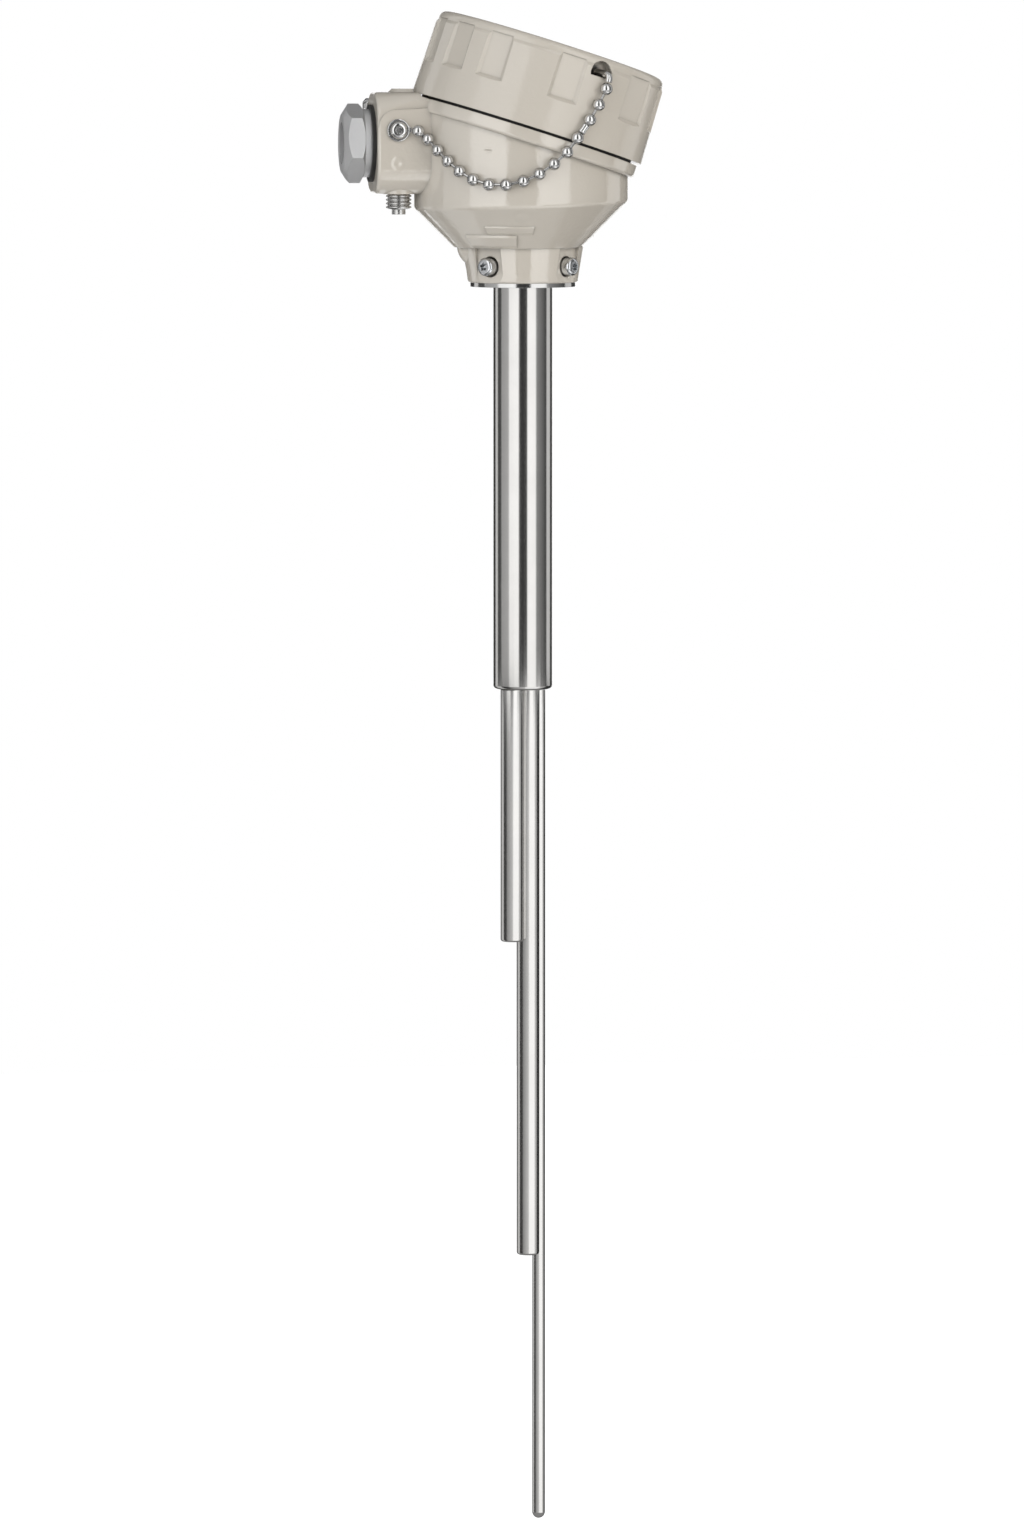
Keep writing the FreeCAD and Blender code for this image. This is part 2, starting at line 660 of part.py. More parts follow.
well = aim_set_screw(turned("well", [
    ("0", "dims.collar_bore - 3"),
    ("dims.set_screw_shank + %g" % fit_gap, "dims.collar_bore - 3"),
    ("dims.set_screw_shank + %g" % fit_gap, "dims.set_screw_seat"),
    ("dims.set_screw_well", "dims.set_screw_seat"),
    ("dims.set_screw_well", "dims.set_screw_stand + 6"),
    ("0", "dims.set_screw_stand + 6"),
]))
flat_blank = box("flat_blank", "20", "dims.collar_flat_width", "20")
flat_blank.Placement = Placement(
    Vector(0, 0, size("set_screw_height")),
    Rotation(Vector(0, 0, 1), -45),
).multiply(Placement(Vector(size("collar_flat"), -size("collar_flat_width") / 2, -8), Rotation()))
band = place(
    cylinder("collar_band", "60", "dims.collar_top - dims.washer_thickness + 1"),
    z="dims.washer_thickness - 1",
)
flat = common("flat", [flat_blank, band])

room = fuse("room", [
    above_seam, chamber, mouth, stem_bore, entry, stud_hole, chain_screw_hole, earth_hole,
    well, mirrored("well_left", well), flat, mirrored("flat_left", flat),
])
hollow = cut("hollow", casting, room)

pillars = []
for side in (-1, 1):
    pillar = cylinder("pillar", "dims.pillar_radius", "dims.base_foot - dims.pillar_foot")
    place(pillar, x="%d * dims.base_screw_place" % side, z="dims.pillar_foot")
    thread = cylinder("pillar_hole", "dims.base_screw_shank + %g" % fit_gap, "dims.base_screw_length + 4")
    place(
        thread,
        x="%d * dims.base_screw_place" % side,
        z="dims.base_foot - dims.base_screw_length - 1",
    )
    pillars.append(cut("drilled_pillar", pillar, thread))
node(fuse("head", [hollow] + pillars), "head_body")

# Lid with its spigot, grip recesses and chain pocket, in the tilted frame of the seam.

lid_top = "dims.seam_gap / 2 + dims.lid_height"
band_foot = "dims.land_top + dims.band_step"
lid_blank = turned("lid_blank", [
    ("dims.lid_mouth", "-dims.lid_reach"),
    ("dims.lid_spigot", "-dims.lid_reach"),
    ("dims.lid_spigot", "dims.seam_gap / 2"),
    ("dims.lid_radius", "dims.seam_gap / 2"),
    ("dims.lid_shoulder", "dims.land_top"),
    ("dims.band_radius", band_foot),
    ("dims.band_radius", lid_top),
    ("dims.band_radius * 0.7", lid_top + " + dims.lid_crown * 0.5"),
    ("dims.band_radius * 0.35", lid_top + " + dims.lid_crown * 0.88"),
    ("0", lid_top + " + dims.lid_crown"),
    ("0", lid_top + " - dims.lid_roof"),
    ("dims.lid_cheek", lid_top + " - dims.lid_roof"),
    ("dims.lid_cheek", "dims.cheek_foot"),
    ("dims.lid_mouth", "dims.mouth_head"),
])
round_rings(
    lid_blank,
    "dims.lid_edge",
    [(size("band_radius"), size("seam_gap") / 2 + size("lid_height"))],
)

# Azimuth from the front towards +X and width of each grip recess on one half of the lid.
recesses = [(-80.5, 13.5), (-56.7, 13.5), (-33.4, 13.0), (4.0, 13.5), (45.9, 18.0), (73.5, 13.5)]
grip_tools = []
for turn in (0, 180):
    for azimuth, width in recesses:
        half = size("lid_radius") * math.radians(width) / 2
        tool = doc.addObject("Part::Wedge", "grip")
        tool.setExpression("Ymin", "dims.recess_floor")
        tool.setExpression("Ymax", "dims.recess_floor + 2 * dims.recess_bevel")
        tool.setExpression("Xmin", "-%g + dims.recess_flank / 2" % half)
        tool.setExpression("Xmax", "%g - dims.recess_flank / 2" % half)
        tool.setExpression("X2min", "-%g - dims.recess_flank * 1.5" % half)
        tool.setExpression("X2max", "%g + dims.recess_flank * 1.5" % half)
        tool.setExpression("Zmin", "dims.recess_foot + dims.recess_bevel")
        tool.setExpression("Z2min", "dims.recess_foot - dims.recess_bevel")
        tool.setExpression("Zmax", band_foot + " + 0.5")
        tool.setExpression("Z2max", band_foot + " + 0.5")
        place(tool, angle="%g" % (180 + azimuth + turn))
        grip_tools.append(tool)


def at_pocket(item, reach):
    # Local +Z points out of the lid along the pocket's azimuth.
    azimuth = math.radians(size("pocket_azimuth"))
    out = Vector(math.sin(azimuth), -math.cos(azimuth), 0)
    spot = out * reach + Vector(0, 0, size("pocket_rise"))
    item.Placement = Placement(spot, Rotation(Vector(0, 0, 1), out))
    return item


lug = cylinder("pocket_lug", "dims.pocket_radius + dims.lug_wall", "8")
at_pocket(lug, size("pocket_floor") - 4)
lug_hole = cylinder("hook_hole", "dims.hook_radius + %g" % fit_gap, "6")
at_pocket(lug_hole, size("pocket_floor") - size("hook_root") - 0.2)
pocket_round = cylinder("pocket_round", "dims.pocket_radius", "9")
at_pocket(pocket_round, size("pocket_floor"))
pocket_keep = place(cylinder("pocket_keep", "60", "20"), z="dims.pocket_rise - dims.pocket_sill")
pocket = common("pocket", [pocket_round, pocket_keep])
lug_limit = cylinder("lug_limit", "dims.lid_cheek + 1", lid_top + " - 2")
lug_inside = common("lug_inside", [lug, lug_limit])
lid_full = fuse("lid_full", [lid_blank, lug_inside])
lid = cut("lid_cut", lid_full, fuse("lid_room", grip_tools + [pocket, lug_hole]))
node(on_seam(lid), "lid")

gasket = turned("gasket", [
    ("dims.rim_bore + 0.3", "-dims.seam_gap / 2"),
    ("dims.gasket_radius", "-dims.seam_gap / 2"),
    ("dims.gasket_radius", "dims.seam_gap / 2"),
    ("dims.rim_bore + 0.3", "dims.seam_gap / 2"),
])
node(on_seam(gasket), "lid_gasket")

# Cable entry: hexagonal pressing screw, sealing ring, thrust washer and grommet. Heights are measured
# along the entry's axis from the stem's axis.

nut_core = turned("nut_core", [
    ("0", "dims.nut_tip"),
    ("dims.nut_spigot", "dims.nut_tip"),
    ("dims.nut_spigot", "dims.boss_reach + dims.ring_thickness"),
    ("dims.nut_neck_radius", "dims.boss_reach + dims.ring_thickness"),
    ("dims.nut_neck_radius", "dims.nut_shoulder + 1"),
    ("0", "dims.nut_shoulder + 1"),
])
hexagon = doc.addObject("Part::Prism", "nut_hexagon")
hexagon.Polygon = 6
hexagon.setExpression("Circumradius", "dims.nut_flats / 2 / cos(30)")
hexagon.setExpression("Height", "dims.nut_end - dims.nut_shoulder")
place(hexagon, z="dims.nut_shoulder", angle="dims.nut_turn")
envelope = turned("nut_envelope", [
    ("0", "dims.nut_shoulder"),
    ("dims.nut_flats / 2 - 0.2", "dims.nut_shoulder"),
    ("dims.nut_flats / 2 + 2.6", "dims.nut_shoulder + 1.6"),
    ("dims.nut_flats / 2 + 2.6", "dims.nut_end - dims.nut_chamfer"),
    ("dims.nut_face", "dims.nut_end"),
    ("0", "dims.nut_end"),
])
cable_way = place(cylinder("cable_way", "dims.cable_bore", "40"), z="dims.nut_tip - 2")
nut_solid = fuse("nut_solid", [nut_core, common("nut_head", [hexagon, envelope])])
node(on_entry(cut("nut", nut_solid, cable_way)), "gland_nut")

gland_ring = turned("sealing_ring", [
    ("dims.nut_spigot + 0.5", "dims.boss_reach"),
    ("dims.ring_radius", "dims.boss_reach"),
    ("dims.ring_radius", "dims.boss_reach + dims.ring_thickness"),
    ("dims.nut_spigot + 0.5", "dims.boss_reach + dims.ring_thickness"),
])
node(on_entry(gland_ring), "gland_ring")

gland_washer = turned("thrust_washer", [
    ("dims.seal_bore", "dims.nut_tip - 1.5"),
    ("dims.entry_bore - 0.3", "dims.nut_tip - 1.5"),
    ("dims.entry_bore - 0.3", "dims.nut_tip"),
    ("dims.seal_bore", "dims.nut_tip"),
])
node(on_entry(gland_washer), "gland_washer")

gland_seal = turned("grommet", [
    ("dims.seal_bore", "dims.entry_seat"),
    ("dims.entry_bore - 0.2", "dims.entry_seat"),
    ("dims.entry_bore - 0.2", "dims.nut_tip - 1.5"),
    ("dims.seal_bore", "dims.nut_tip - 1.5"),
])
node(on_entry(gland_seal), "gland_seal")

# Fasteners. Each is turned about its own axis, with local +Z pointing out of the part.


def star_socket(name, radius, depth, top):
    body = doc.addObject("PartDesign::Body", name)
    sketch = new_sketch(body, name + "_outline", "XY_Plane", "%s - %s" % (top, depth))
    points = []
    for i in range(12):
        reach = 1.0 if i % 2 == 0 else 0.68
        angle = math.radians(30 * i)
        across = "%s * %.4f" % (radius, reach * math.cos(angle))
        up = "%s * %.4f" % (radius, reach * math.sin(angle))
        points.append((across, up))
    draw_outline(sketch, points)
    pad = body.newObject("PartDesign::Pad", name + "_pad")
    pad.Profile = sketch
    pad.Length = 6
    doc.recompute()
    return body


set_blank = turned("set_screw_blank", [
    ("0", "dims.spigot_radius + 0.05"),
    ("dims.set_screw_shank - 0.8", "dims.spigot_radius + 0.05"),
    ("dims.set_screw_shank", "dims.spigot_radius + 0.9"),
    ("dims.set_screw_shank", "dims.set_screw_seat"),
    ("dims.set_screw_head", "dims.set_screw_seat"),
    ("dims.set_screw_head", "dims.set_screw_stand"),
    ("0", "dims.set_screw_stand"),
])
round_rings(set_blank, "dims.set_screw_dome", [(size("set_screw_head"), size("set_screw_stand"))])
set_socket = star_socket(
    "set_socket", "dims.set_socket_radius", "dims.set_socket_depth", "dims.set_screw_stand"
)
set_screw = aim_set_screw(cut("set_screw", set_blank, set_socket))
node(group("set_screw_pair", [set_screw, mirrored("set_screw_left", set_screw)]), "set_screws")

eyelet_ring = turned("eyelet_ring", [
    ("dims.eyelet_hole", "0"),
    ("dims.eyelet_radius", "0"),
    ("dims.eyelet_radius", "dims.eyelet_plate"),
    ("dims.eyelet_hole", "dims.eyelet_plate"),
])
round_rings(eyelet_ring, "dims.eyelet_edge", [(size("eyelet_radius"), size("eyelet_plate"))])
tongue = doc.addObject("PartDesign::Body", "tongue")
tongue_sketch = new_sketch(tongue, "tongue_outline", "XY_Plane")
draw_outline(tongue_sketch, [
    ("2.0", "-2.2"),
    ("dims.tongue_reach - 0.6", "-0.9"),
    ("dims.tongue_reach", "-0.4"),
    ("dims.tongue_reach", "0.7"),
    ("2.0", "3.5"),
])
tongue_pad = tongue.newObject("PartDesign::Pad", "tongue_pad")
tongue_pad.Profile = tongue_sketch
tongue_pad.setExpression("Length", "dims.eyelet_plate - 0.3")
doc.recompute()
eyelet = fuse("eyelet", [eyelet_ring, tongue])

screw_crown = "dims.eyelet_plate + dims.chain_screw_rise"
chain_screw_blank = turned("chain_screw_blank", [
    ("0", "-dims.small_length"),
    ("dims.small_shank", "-dims.small_length"),
    ("dims.small_shank", "dims.eyelet_plate"),
    ("dims.chain_screw_head", "dims.eyelet_plate"),
    ("dims.chain_screw_head", screw_crown),
    ("0", screw_crown),
])
round_rings(
    chain_screw_blank,
    "dims.chain_screw_dome",
    [(size("chain_screw_head"), size("eyelet_plate") + size("chain_screw_rise"))],
)
chain_socket = star_socket(
    "chain_socket", "dims.chain_socket_radius", "dims.chain_socket_depth", screw_crown
)
chain_screw = cut("chain_screw_cut", chain_screw_blank, chain_socket)
for item, label in ((eyelet, "chain_eyelet"), (chain_screw, "chain_screw")):
    place(
        item,
        x="-dims.chain_screw_place",
        y="-dims.boss_half",
        z="dims.chain_screw_height",
        axis="1; 0; 0",
        angle="90",
    )
    node(item, label)

earth_blank = turned("earth_screw_blank", [
    ("0", "-dims.small_length"),
    ("dims.small_shank", "-dims.small_length"),
    ("dims.small_shank", "0"),
    ("dims.earth_screw_head", "0"),
    ("dims.earth_screw_head", "dims.earth_screw_rise - 1.1"),
    ("dims.earth_screw_head - 1.2", "dims.earth_screw_rise"),
    ("0", "dims.earth_screw_rise"),
])
earth_socket = star_socket(
    "earth_socket", "dims.earth_socket_radius", "dims.earth_socket_depth", "dims.earth_screw_rise"
)
earth_screw = cut("earth_screw_cut", earth_blank, earth_socket)
place(
    earth_screw,
    x="-dims.boss_reach",
    y="dims.earth_aside",
    z="dims.earth_height",
    axis="0; 1; 0",
    angle="-90",
)
node(earth_screw, "earth_screw")

ridges = 4
stud_outline = [
    ("0", "%d * dims.stud_pitch + 2" % ridges),
    ("dims.stud_pilot", "%d * dims.stud_pitch + 2" % ridges),
    ("dims.stud_pilot", "%d * dims.stud_pitch + 0.2" % ridges),
]
for ridge in range(ridges, 0, -1):
    crest = "%g * dims.stud_pitch" % ridge
    stud_outline += [
        ("dims.stud_radius - 0.75", crest),
        ("dims.stud_radius", crest + " - 0.45"),
        ("dims.stud_radius", crest + " - 0.85"),
        ("dims.stud_radius - 0.75", crest + " - 1.3"),
    ]
stud_outline += [
    ("dims.stud_radius - 0.75", "0"),
    ("dims.stud_pilot", "0"),
    ("dims.stud_pilot", "-5"),
    ("0", "-5"),
]
stud = turned("stud", stud_outline)
place(stud, x="-dims.stud_place", y="-dims.stud_front", z="dims.boss_foot", axis="1; 0; 0", angle="180")
node(stud, "earth_stud")

# Retaining chain: beads at even steps along a hanging curve from the eyelet, past the drum and the
# rim, to the hook in the lid's pocket, joined by wire links, with one sleeve where it was closed.

chain_route = [
    Vector(-41.7, -20.5, 57.8),
    Vector(-38.2, -20.8, 54.8),
    Vector(-35.2, -24.8, 50.9),
    Vector(-31.8, -29.0, 46.9),
    Vector(-28.0, -32.6, 43.3),
    Vector(-23.8, -35.7, 40.5),
    Vector(-18.1, -38.9, 38.6),
    Vector(-12.0, -41.1, 38.5),
    Vector(-5.7, -42.3, 39.8),
    Vector(0.2, -42.9, 42.5),
    Vector(6.0, -43.9, 46.6),
    Vector(10.3, -45.1, 50.7),
    Vector(13.6, -45.7, 55.3),
    Vector(18.8, -44.7, 62.6),
    Vector(22.0, -44.1, 67.9),
    Vector(24.7, -43.6, 73.4),
]
beads_before_sleeve = 13
beads_after_sleeve = 3
curve = Part.BSplineCurve()
curve.interpolate(chain_route)
pitch = size("bead_pitch")
steps = [0.0] + [size("bead_lead") + i * pitch for i in range(beads_before_sleeve - 1)]
steps += [curve.length() - i * pitch for i in reversed(range(beads_after_sleeve))]
stations = [curve.value(curve.parameterAtDistance(step, curve.FirstParameter)) for step in steps]
bead = size("bead_radius")
link = size("link_radius")
tongue_tip = Vector(
    size("tongue_reach") + 0.5 - size("chain_screw_place"),
    -size("boss_half") - size("eyelet_plate") / 2,
    size("chain_screw_height") + 0.15,
)
lead = stations[0] - tongue_tip
pieces = [Part.makeCone(link, bead - 0.2, lead.Length, tongue_tip, lead)]
for i, (here, after) in enumerate(zip(stations, stations[1:])):
    along = after - here
    pieces.append(Part.makeSphere(bead, here, along))
    pieces.append(Part.makeCylinder(link, along.Length, here, along))
    if i == beads_before_sleeve - 1:
        sleeve = size("sleeve_length")
        middle = here + along * 0.5 - along * (sleeve / along.Length / 2)
        pieces.append(Part.makeCylinder(size("sleeve_radius"), sleeve, middle, along))
pieces.append(Part.makeSphere(bead, stations[-1], stations[-1] - stations[-2]))
chain = doc.addObject("Part::Feature", "chain")
chain.Shape = pieces[0].multiFuse(pieces[1:])
node(chain, "retaining_chain")

# Wire hook: straight in the lid's lug, out through the pocket and bent down to the last bead.

pocket_frame = Placement(
    Vector(size("seam_x"), 0, size("seam_z")),
    Rotation(Vector(0, 1, 0), size("lid_tilt")),
)
azimuth = math.radians(size("pocket_azimuth"))
outwards = Vector(math.sin(azimuth), -math.cos(azimuth), 0)
rise = Vector(0, 0, size("pocket_rise"))
sideways = Vector(math.cos(azimuth), math.sin(azimuth), 0) * size("hook_aside")
hook_start = pocket_frame.multVec(outwards * (size("pocket_floor") - size("hook_root")) + rise)
hook_turn = pocket_frame.multVec(outwards * (size("pocket_floor") + size("hook_turn")) + rise)
hook_knee = pocket_frame.multVec(outwards * (size("lid_radius") + size("hook_stand")) + rise + sideways)
hook_end = stations[-1] + (hook_knee - stations[-1]).normalize() * (bead + 0.3)


def bent_wire(points, bend, radius):
    edges = []
    start = points[0]
    for before, corner, after in zip(points, points[1:], points[2:]):
        arrive = (corner - before).normalize()
        leave = (after - corner).normalize()
        turn = math.acos(max(-1.0, min(1.0, arrive.dot(leave))))
        trim = bend * math.tan(turn / 2)
        first = corner - arrive * trim
        last = corner + leave * trim
        inward = (leave - arrive).normalize()
        middle = corner + inward * (bend / math.cos(turn / 2) - bend)
        edges.append(Part.LineSegment(start, first).toShape())
        edges.append(Part.Arc(first, middle, last).toShape())
        start = last
    edges.append(Part.LineSegment(start, points[-1]).toShape())
    path = Part.Wire(edges)
    heading = (points[1] - points[0]).normalize()
    profile = Part.Wire(Part.makeCircle(radius, points[0], heading))
    return path.makePipeShell([profile], True, True)


hook = doc.addObject("Part::Feature", "hook")
hook_points = [hook_start, hook_turn, hook_knee, hook_end]
hook.Shape = bent_wire(hook_points, size("hook_bend"), size("hook_radius"))
node(hook, "chain_ring")

# Terminal block, its clamps and screws, and the wires from the three elements.

block_top = "dims.base_foot + dims.base_thickness"
block_blank = turned("block_blank", [
    ("dims.base_hole", "dims.base_foot"),
    ("dims.base_radius", "dims.base_foot"),
    ("dims.base_radius", block_top),
    ("dims.base_hole", block_top),
])
block_holes = []
for side in (-1, 1):
    hole = cylinder("block_hole", "dims.base_screw_shank + 0.6", "dims.base_thickness + 2")
    place(hole, x="%d * dims.base_screw_place" % side, z="dims.base_foot - 1")
    block_holes.append(hole)
node(cut("block", block_blank, fuse("block_hole_set", block_holes)), "terminal_base")

base_screws = []
for side in (-1, 1):
    screw = turned("base_screw", [
        ("0", "dims.base_foot - dims.base_screw_length"),
        ("dims.base_screw_shank", "dims.base_foot - dims.base_screw_length"),
        ("dims.base_screw_shank", block_top),
        ("dims.base_screw_head", block_top),
        ("dims.base_screw_head", block_top + " + dims.base_screw_rise - 1"),
        ("dims.base_screw_head - 0.9", block_top + " + dims.base_screw_rise"),
        ("0", block_top + " + dims.base_screw_rise"),
    ])
    place(screw, x="%d * dims.base_screw_place" % side)
    base_screws.append(screw)
node(group("base_screw_pair", base_screws), "base_screws")

clamp_angles = [30 + 60 * i for i in range(6)]
wire_level = size("base_foot") + size("base_thickness") + size("wire_rise")
clamp_block = box("clamp_block", "dims.clamp_length", "dims.clamp_width", "dims.clamp_height")
place(clamp_block, x="dims.clamp_place - dims.clamp_length / 2", y="-dims.clamp_width / 2", z=block_top)
clamp_thread = cylinder("clamp_thread", "dims.terminal_shank + %g" % fit_gap, "dims.clamp_height")
place(clamp_thread, x="dims.clamp_place", z=block_top + " + dims.terminal_tip - 0.3")
wire_hole = place(
    cylinder("wire_hole", "dims.wire_radius + %g" % fit_gap, "dims.clamp_length"),
    x="dims.clamp_place - dims.clamp_length / 2 - 1",
    z=block_top + " + dims.wire_rise",
    axis="0; 1; 0",
    angle="90",
)
clamp = cut("clamp", clamp_block, fuse("clamp_holes", [clamp_thread, wire_hole]))
terminal_screw = turned("terminal_screw", [
    ("0", block_top + " + dims.terminal_tip"),
    ("dims.terminal_shank", block_top + " + dims.terminal_tip"),
    ("dims.terminal_shank", block_top + " + dims.clamp_height"),
    ("dims.terminal_head", block_top + " + dims.clamp_height"),
    ("dims.terminal_head", block_top + " + dims.clamp_height + dims.terminal_rise"),
    ("0", block_top + " + dims.clamp_height + dims.terminal_rise"),
])
place(terminal_screw, x="dims.clamp_place")
doc.recompute()


def ring_of(name, source, label):
    copies = []
    for angle in clamp_angles:
        copy = source.Shape.copy()
        copy.rotate(Vector(0, 0, 0), Vector(0, 0, 1), angle)
        copies.append(copy)
    item = doc.addObject("Part::Feature", name)
    item.Shape = Part.Compound(copies)
    return node(item, label)


ring_of("clamp_ring", clamp, "terminal_clamps")
ring_of("terminal_screw_ring", terminal_screw, "terminal_screws")

wire_ends = {"short": (210, 270), "middle": (-30, 30), "long": (90, 150)}
wire_sets = {"positive_wires": [], "negative_wires": []}
for point, angles in wire_ends.items():
    spot = sheath_places[point]
    middle_way = math.radians(sum(angles) / 2)
    aside = Vector(-math.sin(middle_way), math.cos(middle_way), 0)
    for label, angle, step in zip(wire_sets, angles, (-0.75, 0.75)):
        out = Vector(math.cos(math.radians(angle)), math.sin(math.radians(angle)), 0)
        level = Vector(0, 0, wire_level)
        foot = spot + aside * step + Vector(0, 0, size("element_top"))
        bend_one = Vector(foot.x, foot.y, wire_level)
        bend_two = out * size("wire_turn") + level
        tip = out * (size("clamp_place") - size("clamp_length") / 2 + size("wire_grip")) + level
        points = [foot, bend_one, bend_two, tip]
        wire_sets[label].append(bent_wire(points, size("wire_bend"), size("wire_radius")))
for label, solids in wire_sets.items():
    item = doc.addObject("Part::Feature", label)
    item.Shape = Part.Compound(solids)
    node(item, label)

doc.recompute()
for item in doc.Objects:
    if "Invalid" in item.State or "Error" in item.State:
        raise RuntimeError("%s failed: %s" % (item.Label, item.State))
for item in nodes:
    if item.Shape.isNull() or not item.Shape.isValid():
        raise RuntimeError("%s has no valid shape" % item.Label)

os.makedirs("parts", exist_ok=True)
for item in nodes:
    solids = item.Shape.Solids
    print(item.Label, len(solids), "solid(s), volume", round(item.Shape.Volume, 1))
    item.Shape.exportStep("parts/%s.step" % item.Label)
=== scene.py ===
import json
import math
from bisect import bisect_left

import bpy
from mathutils import Matrix, Vector
from mathutils.geometry import interpolate_bezier
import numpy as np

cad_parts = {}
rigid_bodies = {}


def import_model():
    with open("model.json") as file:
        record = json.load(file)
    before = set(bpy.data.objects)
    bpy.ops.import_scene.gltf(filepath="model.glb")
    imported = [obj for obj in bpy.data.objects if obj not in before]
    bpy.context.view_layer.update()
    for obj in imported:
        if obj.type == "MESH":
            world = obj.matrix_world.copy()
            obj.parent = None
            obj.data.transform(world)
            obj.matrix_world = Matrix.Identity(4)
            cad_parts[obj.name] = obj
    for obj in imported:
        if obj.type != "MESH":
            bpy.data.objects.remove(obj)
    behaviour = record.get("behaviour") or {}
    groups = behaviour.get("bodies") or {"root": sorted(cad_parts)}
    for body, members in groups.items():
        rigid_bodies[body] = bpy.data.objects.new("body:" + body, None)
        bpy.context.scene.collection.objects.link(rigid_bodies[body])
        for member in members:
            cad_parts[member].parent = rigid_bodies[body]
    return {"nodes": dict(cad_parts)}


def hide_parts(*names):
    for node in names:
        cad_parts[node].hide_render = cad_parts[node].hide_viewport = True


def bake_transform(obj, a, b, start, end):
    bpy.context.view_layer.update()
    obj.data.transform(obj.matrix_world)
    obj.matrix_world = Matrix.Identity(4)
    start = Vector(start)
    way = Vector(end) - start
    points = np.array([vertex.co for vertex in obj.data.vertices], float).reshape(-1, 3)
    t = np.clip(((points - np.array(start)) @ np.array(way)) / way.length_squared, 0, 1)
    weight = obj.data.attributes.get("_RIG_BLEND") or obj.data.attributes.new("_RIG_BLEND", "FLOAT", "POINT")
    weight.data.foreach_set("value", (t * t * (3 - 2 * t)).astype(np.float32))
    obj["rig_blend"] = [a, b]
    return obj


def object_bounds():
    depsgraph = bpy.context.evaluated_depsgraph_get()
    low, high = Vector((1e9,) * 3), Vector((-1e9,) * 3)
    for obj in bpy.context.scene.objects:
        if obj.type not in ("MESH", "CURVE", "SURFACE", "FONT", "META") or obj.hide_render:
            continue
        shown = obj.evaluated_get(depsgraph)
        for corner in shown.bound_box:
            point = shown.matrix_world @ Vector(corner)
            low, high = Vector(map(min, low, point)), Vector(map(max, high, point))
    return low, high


for leftover in list(bpy.data.objects):  # start from an empty scene
    bpy.data.objects.remove(leftover)

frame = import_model()
nodes = frame["nodes"]
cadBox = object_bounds()
scene = bpy.context.scene
scene.view_settings.view_transform = "Standard"
print("frame loaded:", len(nodes), "nodes")

mm = 0.001


# small helpers for selecting, meshes and shader nodes

def deselectAll():
    if bpy.context.mode != "OBJECT":
        bpy.ops.object.mode_set(mode="OBJECT")
    bpy.ops.object.select_all(action="DESELECT")


def pickOnly(obj):
    deselectAll()
    obj.select_set(True)
    bpy.context.view_layer.objects.active = obj


def applyPlace(obj):
    pickOnly(obj)
    bpy.ops.object.transform_apply(location=True, rotation=True, scale=True)


def duplicateOf(obj, name):
    copy = obj.copy()
    copy.data = obj.data.copy()
    copy.name = name
    scene.collection.objects.link(copy)
    return copy


def joined(parts, name):
    deselectAll()
    for part in parts:
        part.select_set(True)
    bpy.context.view_layer.objects.active = parts[0]
    bpy.ops.object.join()
    parts[0].name = name
    parts[0].data.name = name
    return parts[0]


def smoothByAngle(obj, degrees):
    pickOnly(obj)
    bpy.ops.object.shade_smooth_by_angle(angle=math.radians(degrees))


def fillSockets(made, sockets):
    for name, value in sockets.items():
        made.inputs[name].default_value = value
    return made


def addNode(tree, kind, **sockets):
    return fillSockets(tree.nodes.new(kind), sockets)


def useGroup(tree, group, **sockets):
    made = tree.nodes.new("ShaderNodeGroup")
    made.node_tree = group
    return fillSockets(made, sockets)


def newMaterial(name, kind="ShaderNodeBsdfPrincipled"):
    material = bpy.data.materials.new(name)
    material.use_nodes = True
    tree = material.node_tree
    tree.nodes.clear()
    out = tree.nodes.new("ShaderNodeOutputMaterial")
    shader = tree.nodes.new(kind)
    tree.links.new(shader.outputs[0], out.inputs["Surface"])
    return material, tree, shader


def objectCoords(tree):
    return tree.nodes.new("ShaderNodeTexCoord").outputs["Object"]


def startGroup(name, inputs, outputs):
    group = bpy.data.node_groups.new(name, "ShaderNodeTree")
    for label, kind, value in inputs:
        socket = group.interface.new_socket(label, in_out="INPUT", socket_type=kind)
        if value is not None:
            socket.default_value = value
    for label, kind in outputs:
        group.interface.new_socket(label, in_out="OUTPUT", socket_type=kind)
    return group, group.nodes.new("NodeGroupInput"), group.nodes.new("NodeGroupOutput")


# camera at the photograph's angle; in a picture taller than wide the sensor's width spans the height

photoCamera = {
    "distance": 3.0,
    "azimuth": -8.0,
    "height": 0.100,        # above the washer's underside
    "aimAcross": -0.0040,   # middle of the picture, left of the stem's axis
    "aimHeight": -0.1797,
    "frameHeight": 0.5737,  # what the picture's height covers at the aim
    "sensor": 36.0,
    "farthest": 50.0,
}


def makeCamera(spec):
    turn = math.radians(spec["azimuth"])
    spot = Vector((math.sin(turn), -math.cos(turn), 0)) * spec["distance"]
    spot.z = spec["height"]
    aim = Vector((math.cos(turn), math.sin(turn), 0)) * spec["aimAcross"]
    aim.z = spec["aimHeight"]
    deselectAll()
    bpy.ops.object.camera_add(location=spot)
    camera = bpy.context.object
    camera.name = "photoCamera"
    camera.rotation_euler = (aim - spot).to_track_quat("-Z", "Y").to_euler()
    camera.data.sensor_width = spec["sensor"]
    camera.data.lens = spec["sensor"] * (aim - spot).length / spec["frameHeight"]
    camera.data.clip_end = spec["farthest"]
    scene.camera = camera
    print("camera placed, lens", round(camera.data.lens, 1))


makeCamera(photoCamera)


# studio: white surround, pale floor, lamps, and cards that only show as reflections

